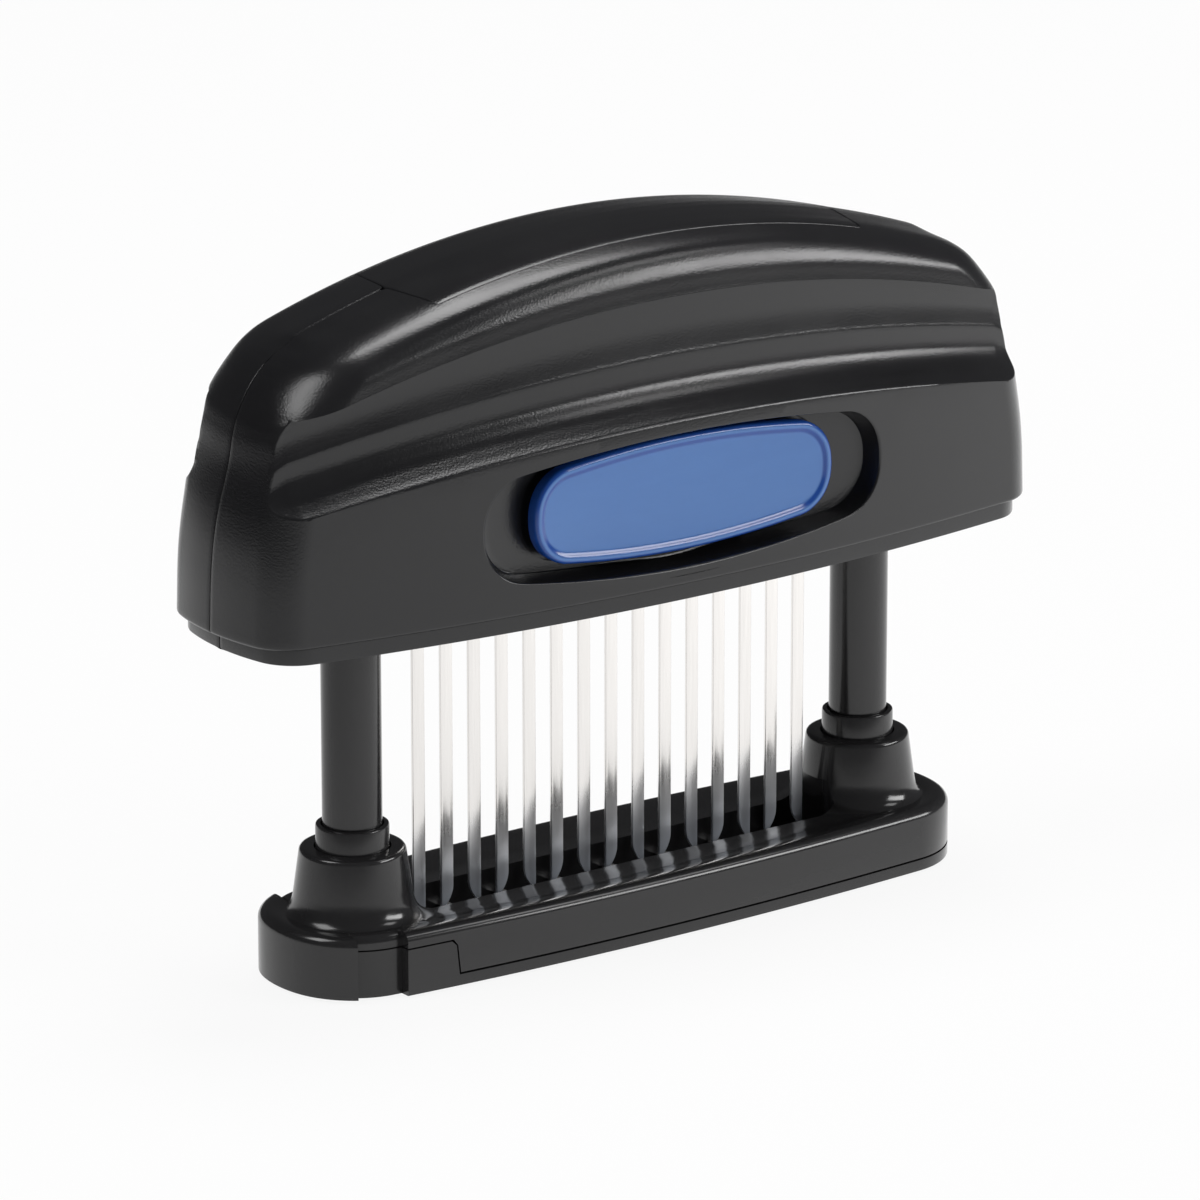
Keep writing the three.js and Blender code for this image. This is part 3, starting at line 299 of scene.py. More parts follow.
def full_outline(shape, steps):
    """From the left tip once round."""
    front = half_outline(shape, steps)
    return np.vstack([front, (front * (1, -1))[::-1][1:-1]])


def inset(shape, amount):
    return {key: value - amount for key, value in shape.items()}


def curve(knots, values, t):
    """A smooth curve through values at knots, by cubic pieces."""
    knots, values = np.asarray(knots, float), np.asarray(values, float)
    slopes = np.gradient(values, knots, axis=0)
    t = np.clip(t, knots[0], knots[-1])
    i = int(np.clip(np.searchsorted(knots, t) - 1, 0, len(knots) - 2))
    run = knots[i + 1] - knots[i]
    s = (t - knots[i]) / run
    a, b = values[i], values[i + 1]
    m, n = slopes[i] * run, slopes[i + 1] * run
    return ((2 * s**3 - 3 * s**2 + 1) * a + (s**3 - 2 * s**2 + s) * m
            + (3 * s**2 - 2 * s**3) * b + (s**3 - s**2) * n)


# Handle

STEPS = (10, 44, 50)  # points along the end, the corner and half the side
WALL_ROWS = 26

# Its levels from the hem to the crest: height at the middle and at the ends, length, width, bow
# of the sides as a share of the lowest one, radius of the corners and of the ends
BODY = np.array([
    (68.0, 68.0, 85.2, 24.7, 1, 8.5, 50),
    (81.2, 78.5, 84.75, 24.56, 1, 8.5, 50),
    (97.3, 88.9, 83.2, 24.35, 1, 8.9, 50),
    (108.1, 97.3, 80.85, 22.8, 0.77, 7.3, 50),
    (113.9, 102.0, 79.9, 20.9, 0.54, 10.4, 50),
    (118.2, 105.7, 78.75, 19.35, 0.31, 11.0, 49.3),
    (121.9, 109.5, 76.6, 18.85, 0.32, 13.2, 48.4),
    (125.3, 112.2, 74.4, 17.3, 0.4, 11.5, 46),
    (127.7, 114.35, 71.9, 13.1, 0.18, 9.1, 37.8),
    (128.65, 115.95, 69.15, 6.9, 0.02, 5.2, 21),
    (129.0, 117.4, 67.0, 1.6, 0.0125, 1.2, 4.8),
])
LEDGE, SHOULDER = 2, 5
RISES = np.hypot(np.diff(BODY[:, 0]), np.hypot(np.diff(BODY[:, 3]), np.diff(BODY[:, 2]) / 2))
KNOTS = np.concatenate([[0], np.cumsum(RISES)])
CREST_END = BODY[-1, 1]


def mix(a, b, share):
    return a + (b - a) * share


def handle_outline(length, width, bow=1.0, corner=CORNER, end=END_BOW):
    return {"length": length, "width": width, "side": SIDE_BOW / max(bow, 1e-3),
            "end": end, "corner": min(corner, 0.75 * width)}


def body_level(t, steps=STEPS):
    """The handle's outline at a place between hem and crest, without its groove."""
    mid, end, length, width, bow, corner, end_bow = curve(KNOTS, BODY, t)
    points = half_outline(handle_outline(length, width, bow, corner, min(end_bow, END_BOW)), steps)
    fall = (points[:, 0] / length) ** 2
    return np.column_stack([points, mid - (mid - end) * fall])


def place_of(mid):
    """Where a height at the middle of the handle lies between hem and crest."""
    places = np.linspace(0, KNOTS[-1], 400)
    heights = [curve(KNOTS, BODY, t)[0] for t in places]
    return float(np.interp(mid, heights, places))


# The grip groove from ledge to shoulder at the middle of the side, as depth and height
GROOVE = [
    (24.36, 96.9), (24.35, 97.1), (24.28, 97.24), (24.1, 97.42), (23.75, 97.68), (23.2, 98.1),
    (22.3, 98.85), (21.3, 99.7), (20.4, 100.65), (19.65, 101.8), (19.18, 102.95), (19.02, 104.1),
    (19.0, 105.5), (19.0, 107.45), (18.98, 107.7), (18.92, 107.9), (18.7, 109.1), (18.5, 110.6),
    (18.4, 112.0), (18.4, 113.0), (18.53, 114.2), (18.8, 115.6), (19.06, 116.9), (19.22, 117.6),
    (19.33, 118.3),
]
GROOVE_STEP = 0.3
GROOVE_SOFT = 0.22
GROOVE_LIFT = 1.2  # how much higher the middle of the groove lies at its ends
GROOVE_END, GROOVE_FADE, GROOVE_REACH = 81, 4, 75  # where the lift ends, fades and is whole


def groove_rows():
    """Rows of the side between the wall and the crown, with the groove pressed in."""
    points = np.array(GROOVE)
    knots = np.concatenate([[0], np.cumsum(np.linalg.norm(np.diff(points, axis=0), axis=1))])
    low, high = BODY[LEDGE, 0], BODY[SHOULDER, 0]
    rows = []
    for t in np.arange(0, knots[-1], GROOVE_STEP):
        depth, height = curve(knots, points, t)
        share = np.clip((height - low) / (high - low), 0, 1)
        row = body_level(place_of(height))
        x, y = row[:, 0], -row[:, 1]
        wall = depth - x**2 / (2 * SIDE_BOW)
        over = y - wall
        soft = GROOVE_SOFT * min(1, share * 12)
        pressed = y - 0.5 * (over + np.sqrt(over**2 + soft**2))
        inside = np.clip((GROOVE_END - np.abs(x)) / GROOVE_FADE, 0, 1)
        lift = GROOVE_LIFT * (x / GROOVE_REACH) ** 2 * 4 * share * (1 - share) * inside
        rows.append(np.column_stack([x, -pressed, row[:, 2] + lift]))
    return rows


def wall_rows():
    """Rows of the plain wall, from the hem to the foot of the groove."""
    top = place_of(GROOVE[0][1] - 0.3)
    return [body_level(t) for t in np.linspace(0, top, WALL_ROWS)]


def skirt_rows():
    """The underside, the set-back skirt and the rounded hem of the shell above it."""
    skirt = handle_outline(HALF_LENGTH - SKIRT_BACK[0], HALF_WIDTH - SKIRT_BACK[1])
    tall = HEM_Z - SKIRT_Z
    rows = []
    outline = half_outline(skirt, STEPS)
    middle = outline * (1, 0)
    rows.append(np.column_stack([middle, np.full(len(outline), SKIRT_Z)]))
    for amount, z in [(0.35, 0), (0.1, 0.08), (0, 0.35), (0, tall - 0.15), (0, tall)]:
        flat = half_outline(inset(skirt, amount), STEPS)
        rows.append(np.column_stack([flat, np.full(len(flat), SKIRT_Z + z)]))
    for turn in np.radians([0, 18, 36, 54, 72]):
        amount = HEM_ROUND * (1 - math.sin(turn))
        flat = half_outline(handle_outline(HALF_LENGTH - amount, HALF_WIDTH - amount), STEPS)
        z = HEM_Z + HEM_ROUND * (1 - math.cos(turn))
        rows.append(np.column_stack([flat, np.full(len(flat), z)]))
    return rows


CROWN_TABLE = [body_level(t, (6, 12, 40)) for t in np.linspace(KNOTS[SHOULDER], KNOTS[-1], 90)]

# The hollow, from the crown down: height, half length and half width
HOLLOW = [(113, 70, 12.4), (108, 74, 14.6), (100, 77, 15.4), (82, 79, 15.4), (66.7, 79, 15.4)]
HOLLOW_ARCH = 6  # how much lower its upper part is at the ends


def crown_height(x, y):
    """The height of the crown over a point of its plan."""
    depths, heights = [], []
    x, y = abs(x), abs(y)
    for level in CROWN_TABLE:
        right = level[len(level) // 2:]
        if x > right[-1, 0]:
            continue
        depths.append(-np.interp(x, right[:, 0], right[:, 1]))
        heights.append(np.interp(x, right[:, 0], right[:, 2]))
    if not depths:
        return CREST_END
    order = np.argsort(depths)
    return float(np.interp(y, np.array(depths)[order], np.array(heights)[order]))


def drape(points, drop=0.0):
    """Points of the plan laid on the crown, or under it by a drop."""
    return np.array([(x, y, crown_height(x, y) - drop) for x, y in points])


def opening_path(level, grow):
    """Where the crown's columns end: on the parting line, or on the edge of the cover's seat."""
    x, tip = level[:, 0], -level[0, 0]
    corner_x, point_x = COVER_LENGTH - COVER_POINT + grow, COVER_LENGTH + grow
    side_y = COVER_WIDTH + grow
    reach = [(0, 0), (corner_x - 2, corner_x), (corner_x + 6, point_x), (tip, tip)]
    from_x, to_x = zip(*reach)
    across = np.interp(np.abs(x), from_x, to_x)
    depth = np.interp(across, [0, corner_x, point_x, tip], [side_y, side_y, PART_LINE, PART_LINE])
    return np.column_stack([np.sign(x) * across, -depth])


def half_shell():
    """The front half of the handle's body, a closed shell with the cover's seat open."""
    rows = skirt_rows() + wall_rows() + groove_rows()
    seat_start = mix(KNOTS[SHOULDER + 2], KNOTS[SHOULDER + 3], 0.6)
    rows += [body_level(t) for t in np.linspace(KNOTS[SHOULDER], seat_start, 22)]
    start, outer_rows = rows[-1], len(rows)
    seat = opening_path(start, COVER_GAP)
    for share in (0.12, 0.3, 0.5, 0.7, 0.85, 0.95):
        rows.append(drape(mix(start[:, :2], seat, share)))
    in_seat = np.abs(seat[:, 0]) < COVER_LENGTH + COVER_GAP + 0.01
    lip = seat.copy()
    rows.append(drape(mix(start[:, :2], seat, 0.985)))
    rows.append(drape(seat, 0.18))
    rows.append(drape(seat, 2.3))
    lip[in_seat, 1] = np.minimum(lip[in_seat, 1] + 1.5, -PART_LINE)
    lip[in_seat, 0] *= 0.965
    rows.append(drape(lip, 2.35))
    rows.append(drape(lip, 4.2))
    for z, length, width in HOLLOW:
        flat = half_outline(handle_outline(length, width), STEPS)
        arch = HOLLOW_ARCH * (flat[:, 0] / length) ** 2 * (z > 100)
        rows.append(np.column_stack([flat, z - arch]))
    rows.append(rows[-1] * (1, 0, 1))
    for row in rows:
        row[:, 1] = np.minimum(row[:, 1], -PART_LINE)
    bm = skin(rows, closed_rows=True)
    press_recess(bm)
    cap(bm)
    level = bm.verts.layers.int["level"]
    meeting = [e for e in bm.edges if all(
        v.co.y > -PART_LINE - WELD and 1 < v[level] < outer_rows for v in e.verts)]
    sharp = [e for e in meeting if e.is_manifold and e.calc_face_angle() > 0.7]
    bmesh.ops.bevel(bm, geom=sharp, offset=0.16, offset_type="OFFSET", segments=2, profile=0.5,
                    affect="EDGES", material=-1)
    return bm


def wall_y(x, z):
    """The front of the handle's wall at a place."""
    low, high = BODY[0], BODY[LEDGE]
    top = high[0] - (high[0] - high[1]) * (x / high[2]) ** 2
    width = np.interp((z - low[0]) / (top - low[0]), [0, 0.45, 1], BODY[:LEDGE + 1, 3])
    return -(width - SIDE_BOW + math.sqrt(SIDE_BOW**2 - x * x))


def press_recess(bm):
    """Presses the button's recess into the wall, with a rounded rim and foot."""
    column, level = bm.verts.layers.int["column"], bm.verts.layers.int["level"]
    skirt_count = len(skirt_rows())
    low, high = skirt_count + 1, skirt_count + WALL_ROWS - 2
    half = sum(STEPS)
    reach = 31  # columns of the wall on either side of the middle
    patch = [f for f in bm.faces if all(
        low <= v[level] <= high and abs(v[column] - half) <= reach for v in f.verts)]
    outline = full_outline(RECESS, (16, 24, 30))
    turns = np.arctan2(outline[:, 1], outline[:, 0])
    order = np.argsort(turns)
    radii = np.hypot(outline[:, 0], outline[:, 1])[order]
    turns = turns[order]
    shares = {}
    verts = {v for f in patch for v in f.verts}
    for v in verts:
        across = abs(v[column] - half) / reach
        up = (v[level] - (low + high) / 2) / ((high - low) / 2)
        turn = math.atan2(v.co.z - RECESS_Z, v.co.x)
        shares[(v[column], v[level])] = (max(across, abs(up)), turn)
    steps = [(1.6, None), (RECESS_RIM + 0.1, None)]
    for turn in np.radians([0, 22, 45, 68, 90]):
        steps.append((RECESS_RIM * (1 - math.sin(turn)), RECESS_RIM * (1 - math.cos(turn))))
    for grow, depth in steps:
        made = bmesh.ops.extrude_face_region(bm, geom=patch)
        bmesh.ops.delete(bm, geom=patch, context="FACES_KEEP_BOUNDARY")
        patch = [g for g in made["geom"] if isinstance(g, bmesh.types.BMFace)]
        for v in {v for f in patch for v in f.verts}:
            share, turn = shares[(v[column], v[level])]
            radius = share * (np.interp(turn, turns, radii, period=2 * math.pi) + grow)
            x, z = radius * math.cos(turn), RECESS_Z + radius * math.sin(turn)
            v.co = (x, wall_y(x, z) + (depth or 0), z)
    foot = RECESS_FOOT
    for amount, lift in [(0, foot), (0.03, foot * 0.4), (0.12, 0.08), (foot, 0)]:
        made = bmesh.ops.extrude_face_region(bm, geom=patch)
        bmesh.ops.delete(bm, geom=patch, context="FACES_KEEP_BOUNDARY")
        patch = [g for g in made["geom"] if isinstance(g, bmesh.types.BMFace)]
        for v in {v for f in patch for v in f.verts}:
            share, turn = shares[(v[column], v[level])]
            sloped = amount + RECESS_SLOPE * math.cos(turn) ** 2
            radius = share * (np.interp(turn, turns, radii, period=2 * math.pi) - sloped)
            x = radius * math.cos(turn)
            floor = RECESS_FLOOR + RECESS_DISH * (x / RECESS["length"]) ** 2
            v.co = (x, -floor - lift, RECESS_Z + radius * math.sin(turn))


def crosswise(radius, x, z, y0, y1, steps=48):
    """A round bar along Y."""
    bm = turned([(0, y0), (radius, y0), (radius, y1), (0, y1)], 0, steps)
    turn_about(bm, -math.pi / 2, "X")
    bmesh.ops.translate(bm, vec=(x, 0, z), verts=bm.verts)
    return tool(bm)


def make_shell(face):
    """A shell with its bush holes, blade slot and button pocket, and screw holes at the back."""
    bm = half_shell()
    if face == "back":
        turn_about(bm, math.pi, "Z")
    shell = finish_mesh(bm, f"handle_shell_{face}", 40)
    cuts = [tool(cylinder(BUSH_R + PLAY, x, 60, 67.1)) for x in (-COLUMN_X, COLUMN_X)]
    cuts.append(tool(block(-SLOT_LENGTH, SLOT_LENGTH, -SLOT_WIDTH, SLOT_WIDTH, 60, 70)))
    pocket = [(-BUTTON_PLAY, RECESS_FLOOR - 0.05), (-BUTTON_PLAY, BUTTON_BACK)]
    cuts.append(tool(button_form(face, pocket)))
    if face == "back":
        places = [(end * x, z) for end in (-1, 1) for x, z in SCREWS]
        carve(shell, [crosswise(SCREW_BOSS_R, x, z, PART_LINE, 12) for x, z in places], "UNION")
        cuts += [crosswise(SCREW_HEAD_R, x, z, SCREW_SEAT, 30) for x, z in places]
        cuts += [crosswise(SCREW_HOLE_R, x, z, -1, 12) for x, z in places]
    return carve(shell, cuts)


def make_cover():
    """The panel that closes the crown, a long leaf with shallow pointed ends."""
    columns = np.concatenate([
        np.linspace(-COVER_LENGTH, -COVER_LENGTH + COVER_POINT, 7)[:-1],
        np.linspace(-COVER_LENGTH + COVER_POINT, COVER_LENGTH - COVER_POINT, 61),
        np.linspace(COVER_LENGTH - COVER_POINT, COVER_LENGTH, 7)[1:],
    ])
    across = np.linspace(-1, 1, 33)
    rows = []
    edge = 0.25

    def plan(x, share, amount):
        tip = (COVER_LENGTH - abs(x)) / COVER_POINT
        half = COVER_WIDTH * min(1, max(tip, 0.01)) - amount
        return (x * (1 - amount / COVER_LENGTH), max(half, 0.02) * share)

    for share in across:
        rows.append(drape([plan(x, share, edge) for x in columns]))
    bm = skin(rows)
    for amount, drop in [(0.07, 0.07), (0, edge), (0, 2.0)]:
        made = bmesh.ops.extrude_edge_only(bm, edges=[e for e in bm.edges if e.is_boundary])
        ring = [g for g in made["geom"] if isinstance(g, bmesh.types.BMVert)]
        for v in ring:
            i = v[bm.verts.layers.int["column"]]
            j = v[bm.verts.layers.int["level"]]
            x, y = plan(columns[i], across[j], amount)
            v.co = (x, y, crown_height(x, y) - drop)
    cap(bm)
    return finish_mesh(bm, "crown_cover", 30)


def button_form(face, levels):
    """A block with the button's outline, from levels of inset and depth."""
    rows = []
    for amount, depth in levels:
        flat = full_outline(inset(BUTTON, amount), (10, 16, 26))
        rows.append(np.column_stack([flat, np.full(len(flat), depth)]))
    bm = skin(rows, closed_columns=True)
    cap(bm)
    face_out(bm, face, BUTTON_Z)
    return bm


def outward(face):
    """The sign of Y on the outer side of a face."""
    return -1 if face == "front" else 1


def make_button(face):
    """The oval button with its rim, sunk face and the seat of its spring."""
    levels = [(0.3, BUTTON_BACK), (0, BUTTON_BACK + 0.3)] + [
        (amount, BUTTON_FACE - drop) for amount, drop in [
            (0, 0.9), (0.07, 0.5), (0.27, 0.2), (0.55, 0.05), (0.9, 0), (1.25, 0.05), (1.6, 0.2),
            (1.9, 0.37), (2.3, 0.45),
        ]
    ]
    button = finish_mesh(button_form(face, levels), f"release_button_{face}", 40)
    seat = sorted((outward(face) * 10, outward(face) * (SPRING_OUTER + PLAY)))
    return carve(button, [crosswise(SPRING_SEAT_R, 0, SPRING_Z, *seat)])


# Springs

def coil(radius, wire, turns, low, high, steps=20):
    """A wound spring of round wire along Z, between two heights."""
    bm = bmesh.new()
    section = Matrix.Translation((radius, 0, low + wire)) @ Matrix.Rotation(math.pi / 2, 4, "X")
    bmesh.ops.create_circle(bm, cap_ends=False, segments=12, radius=wire, matrix=section)
    rise = (high - low - 2 * wire) / (turns * steps)
    bmesh.ops.spin(bm, geom=bm.verts[:] + bm.edges[:], cent=(0, 0, 0), axis=(0, 0, 1),
                   dvec=(0, 0, rise), angle=2 * math.pi * turns, steps=turns * steps,
                   use_merge=False)
    cap(bm)
    return bm


def make_button_coil(face):
    bm = coil(3.0, 0.3, 3, SPRING_INNER, SPRING_OUTER)
    face_out(bm, face, SPRING_Z)
    return finish_mesh(bm, f"button_coil_{face}", 60)


def make_return_coil(end, x):
    bm = coil(2.9, 0.55, 8, COIL_LOW, COIL_HIGH)
    bmesh.ops.translate(bm, vec=(x, 0, 0), verts=bm.verts)
    return finish_mesh(bm, f"return_coil_{end}", 60)


# Base

BASE_STEPS = (12, 24, 20)


def base_level(amount, z):
    """The base's outline pulled in by an amount, at a height."""
    flat = full_outline(inset(BASE, amount), BASE_STEPS)
    return np.column_stack([flat, np.full(len(flat), z)])


def base_column(amount, z0, z1):
    """An upright block with the base's outline pulled in."""
    bm = skin([base_level(amount, z0), base_level(amount, z1)], closed_columns=True)
    cap(bm)
    return bm


def base_body(bottom, pulled=0.0):
    """The base block with its rounded top edge, or one whose sides are pulled in."""
    edge = BASE_EDGE
    foot = [(0.2, 0), (0.05, 0.06), (0, 0.2)]
    rows = [base_level(pulled + amount, bottom + z) for amount, z in foot]
    for turn in np.radians([0, 15, 30, 45, 60, 75, 90]):
        amount = pulled + edge * (1 - math.cos(turn))
        rows.append(base_level(amount, BASE_EDGE_Z + edge * math.sin(turn)))
    rows.append(base_level(pulled + edge + 0.8, BASE_EDGE_Z + edge - 0.06))
    rows.append(base_level(pulled + edge + 2, BASE_EDGE_Z + edge - 0.24))
    rows.append(base_level(max(CREASE - 0.4, pulled + edge + 2.4), SHELF_Z + 0.1))
    rows.append(base_level(max(CREASE, pulled + edge + 2.8), SHELF_Z))
    bm = skin(rows, closed_columns=True)
    cap(bm)
    return bm


def boss_profile():
    """The boss round a column, with its flared foot and rounded rim."""
    foot = [(radius, SHELF_Z + rise) for radius, rise in BOSS_FOOT]
    return [(0, BOSS_BOTTOM), (foot[0][0], BOSS_BOTTOM), *foot, *BOSS_RIM, (0, BOSS_TOP)]


def block_prism(grow):
    """The raised side of the bottom plate beside the finger recess."""
    left, right = BLOCK["left"] - 2, BLOCK["right"] + grow
    top = BLOCK["top"]
    side = [
        (left, UNDER), (right, UNDER), (right, PLATE_TOP),
        (right - BLOCK["slope"] + BLOCK["chamfer"], top - BLOCK["chamfer"]),
        (right - BLOCK["slope"], top + grow), (left, top + grow),
    ]
    return prism([(x, -WIDE, z) for x, z in side], (0, 2 * WIDE, 0))


def pulled_in():
    """The band round the left end that is set back for the clip."""
    band = tool(block(-FAR, RECESS_RIGHT, -WIDE, WIDE, UNDER, OVER))
    inner = tool(base_body(-4, CLIP["thickness"] + PLAY))
    above = tool(base_column(CREASE - 1.5, -3, 18))
    return carve(band, [inner, above])


def clip_space(grow):
    """The space of the end clip, grown by its play: the wall round the end and the rim on top."""
    front = tool(block(-FAR, CLIP["front"] + grow, -WIDE, 0.01, PLAY - grow, OVER))
    back = tool(block(-FAR, CLIP["back"] + grow, -grow, WIDE, PLAY - grow, OVER))
    space = carve(front, [back], "UNION")
    wall = tool(base_column(CLIP["thickness"] + grow, -4, CLIP["rim_z"] - grow))
    hole = tool(cylinder(CLIP["rim_radius"] - grow, -COLUMN_X, CLIP["rim_z"] - 2, OVER))
    return carve(space, [wall, hole])


def make_base():
    """The upper moulding of the base, with bosses, trough and bars."""
    base = tool(base_body(PLATE_TOP + PLAY), "base_moulding")
    carve(base, [pulled_in(), clip_space(PLAY)])
    side = tool(block_prism(PLAY))
    carve(side, [tool(base_column(BLOCK["depth"] + PLAY, -4, 18))])
    carve(base, [side])
    bosses = [tool(turned(boss_profile(), x)) for x in (-COLUMN_X, COLUMN_X)]
    carve(base, bosses, "UNION")
    cuts = [tool(block(-TROUGH_LENGTH, TROUGH_LENGTH, -TROUGH_WIDTH, TROUGH_WIDTH, UNDER, OVER))]
    for x in (-COLUMN_X, COLUMN_X):
        cuts.append(tool(cylinder(COLUMN_R + PLAY, x, COLUMN_FOOT_Z, 30)))
        cuts.append(tool(cylinder(COLLAR_SEAT_R, x, COLLAR_SEAT_Z, 30)))
    carve(base, cuts)
    bars, reach = [], TROUGH_WIDTH + 1
    for i in range(2, BLADES, 2):
        x = blade_x(i) - PITCH / 2
        bars.append(tool(block(x - 1.25, x + 1.25, -reach, reach, PLATE_TOP + 0.6, 6)))
    return carve(base, bars, "UNION")


def make_plate():
    """The bottom moulding, with its raised side and the blades' slots."""
    plate = tool(base_body(0), "bottom_moulding")
    lower = tool(block(-FAR, FAR, -WIDE, WIDE, UNDER, PLATE_TOP))
    raised = tool(block_prism(0))
    carve(raised, [tool(base_column(BLOCK["depth"], -4, 18)),
                   tool(block(-FAR, BLOCK["left"], -WIDE, WIDE, PLATE_TOP, OVER))])
    carve(lower, [raised], "UNION")
    carve(plate, [lower], "INTERSECT")
    carve(plate, [pulled_in()])
    slots = []
    for i in range(0, BLADES, 2):
        last = min(i + 1, BLADES - 1)
        slots.append(tool(block(blade_x(i) - 1.95, blade_x(last) + 1.95, -1.6, 1.6, UNDER, 6)))
    return carve(plate, slots)


def make_clip():
    clip = tool(base_body(0), "end_clip_moulding")
    return carve(clip, [clip_space(0)], "INTERSECT")


def blade_x(i):
    """Where a blade stands in the row."""
    return (i - (BLADES - 1) / 2) * PITCH


def make_blade(i):
    """A flat blade with a hung head and a tip rounded off on one side by grinding."""
    half, head, lean = 1.25, 2.1, 1 if i % 2 == 0 else -1
    tip_z, neck_z, top_z, rise = 7.0, 98.3, 101.3, 4.6
    points = [(half, tip_z), (half, neck_z), (head, neck_z), (head, top_z), (-head, top_z),
              (-head, neck_z), (-half, neck_z), (-half, tip_z + rise)]
    for t in np.linspace(0, 1, 9)[1:-1]:
        x = mix(mix(-half, -half, t), mix(-half, half, t), t)
        z = mix(mix(tip_z + rise, tip_z + rise / 2, t), mix(tip_z + rise / 2, tip_z, t), t)
        points.append((x, z))
    bm = prism([(blade_x(i) + lean * x, -0.3, z) for x, z in points], (0, 0.6, 0))
    blade = finish_mesh(bm, f"needle_blade_{i + 1:02d}", 30)
    return ease_edges(blade, 0.06)


# Assembly

def dress(piece, body, nodes, material):
    """Gives a piece its finish, its body and the nodes that it stands for."""
    piece.data.materials.clear()
    piece.data.materials.append(material)
    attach(piece, body)
    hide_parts(*nodes)
    return piece


# Materials

def group(name, outputs):
    """An empty effect group with a Scale input and the outputs named."""
    tree = bpy.data.node_groups.new(name, "ShaderNodeTree")
    tree.interface.new_socket("Scale", in_out="INPUT", socket_type="NodeSocketFloat")
    for output in outputs:
        tree.interface.new_socket(output, in_out="OUTPUT", socket_type="NodeSocketFloat")
    return tree, tree.nodes.new("NodeGroupInput"), tree.nodes.new("NodeGroupOutput")


def node(tree, kind, **values):
    """A node with its inputs set or linked by name or number, and its settings after set_."""
    made = tree.nodes.new(kind)
    for key, value in values.items():
        if key.startswith("set_"):
            setattr(made, key[4:], value)
            continue
        numbered = key[0] == "i" and key[1:].isdigit()
        place = made.inputs[int(key[1:]) if numbered else key.replace("_", " ")]
        if isinstance(value, bpy.types.NodeSocket):
            tree.links.new(value, place)
        else:
            place.default_value = value
    return made


def object_place(tree):
    return tree.nodes.new("ShaderNodeTexCoord").outputs["Object"]


def grain_group():
    """The fine moulded grain of the handle, as a height, and a soft unevenness of its sheen."""
    tree, given, made = group("moulded grain", ("Height", "Sheen"))
    scale = given.outputs["Scale"]
    at = object_place(tree)
    cells = node(tree, "ShaderNodeTexVoronoi", set_feature="SMOOTH_F1", Vector=at, Scale=scale,
                 Smoothness=0.6)
    noise = node(tree, "ShaderNodeTexNoise", Vector=at, Scale=scale, Detail=3.0, Roughness=0.6)
    both = node(tree, "ShaderNodeMath", set_operation="ADD", i0=cells.outputs["Distance"],
                i1=noise.outputs["Fac"])
    tree.links.new(both.outputs[0], made.inputs["Height"])
    soft = node(tree, "ShaderNodeTexNoise", Vector=at, Scale=60.0, Detail=4.0, Roughness=0.55)
    tree.links.new(soft.outputs["Fac"], made.inputs["Sheen"])
    return tree


def polish_group():
    """Faint wipe marks and flow unevenness of a polished moulding."""
    tree, given, made = group("polish marks", ("Marks", "Height"))
    at = object_place(tree)
    long = node(tree, "ShaderNodeMapping", Vector=at, Scale=(0.25, 1.0, 1.0),
                Rotation=(0.2, 0.1, 0.3))
    wipe = node(tree, "ShaderNodeTexNoise", Vector=long.outputs[0], Scale=given.outputs["Scale"],
                Detail=5.0, Roughness=0.65)
    tree.links.new(wipe.outputs["Fac"], made.inputs["Marks"])
    flow = node(tree, "ShaderNodeTexNoise", Vector=at, Scale=90.0, Detail=2.0)
    tree.links.new(flow.outputs["Fac"], made.inputs["Height"])
    return tree


def draw_group():
    """Lines drawn along a rolled or drawn metal piece, up and down."""
    tree, given, made = group("drawn lines", ("Lines",))
    at = object_place(tree)
    long = node(tree, "ShaderNodeMapping", Vector=at, Scale=(1.0, 1.0, 0.04))
    lines = node(tree, "ShaderNodeTexNoise", Vector=long.outputs[0], Scale=given.outputs["Scale"],
                 Detail=4.0, Roughness=0.7)
    tree.links.new(lines.outputs["Fac"], made.inputs["Lines"])
    return tree


GRAIN, POLISH, DRAWN = grain_group(), polish_group(), draw_group()


def use(tree, effect, scale):
    """An effect placed in a material."""
    made = tree.nodes.new("ShaderNodeGroup")
    made.node_tree = effect
    made.inputs["Scale"].default_value = scale
    return made


def ranged(tree, value, low, high, start=0.3, stop=0.7):
    """A value between two marks, spread over a range."""
    made = node(tree, "ShaderNodeMapRange", Value=value)
    for key, number in zip(("From Min", "From Max", "To Min", "To Max"), (start, stop, low, high)):
        made.inputs[key].default_value = number
    return made.outputs["Result"]


def toned(tree, factor, low, high):
    """A colour between two, by a factor."""
    made = node(tree, "ShaderNodeMix", set_data_type="RGBA", Factor=factor)
    made.inputs["A"].default_value = (*low, 1)
    made.inputs["B"].default_value = (*high, 1)
    return made.outputs["Result"]


def new_material(name, metallic=0.0):
    made = bpy.data.materials.new(name)
    made.use_nodes = True
    shader = made.node_tree.nodes["Principled BSDF"]
    shader.inputs["Metallic"].default_value = metallic
    return made, made.node_tree, shader


def bumped(tree, shader, height, strength, distance):
    bump = node(tree, "ShaderNodeBump", Height=height, Strength=strength, Distance=distance)
    tree.links.new(bump.outputs["Normal"], shader.inputs["Normal"])


def satin_plastic():
    """The handle's black, with its fine grain."""
    made, tree, shader = new_material("black_satin_plastic")
    grain = use(tree, GRAIN, 2600.0)
    tone = toned(tree, grain.outputs["Sheen"], (0.0085, 0.0085, 0.0094), (0.0115, 0.0115, 0.0127))
    tree.links.new(tone, shader.inputs["Base Color"])
    tree.links.new(ranged(tree, grain.outputs["Sheen"], 0.21, 0.27), shader.inputs["Roughness"])
    bumped(tree, shader, grain.outputs["Height"], 0.6, 0.00003)
    return made


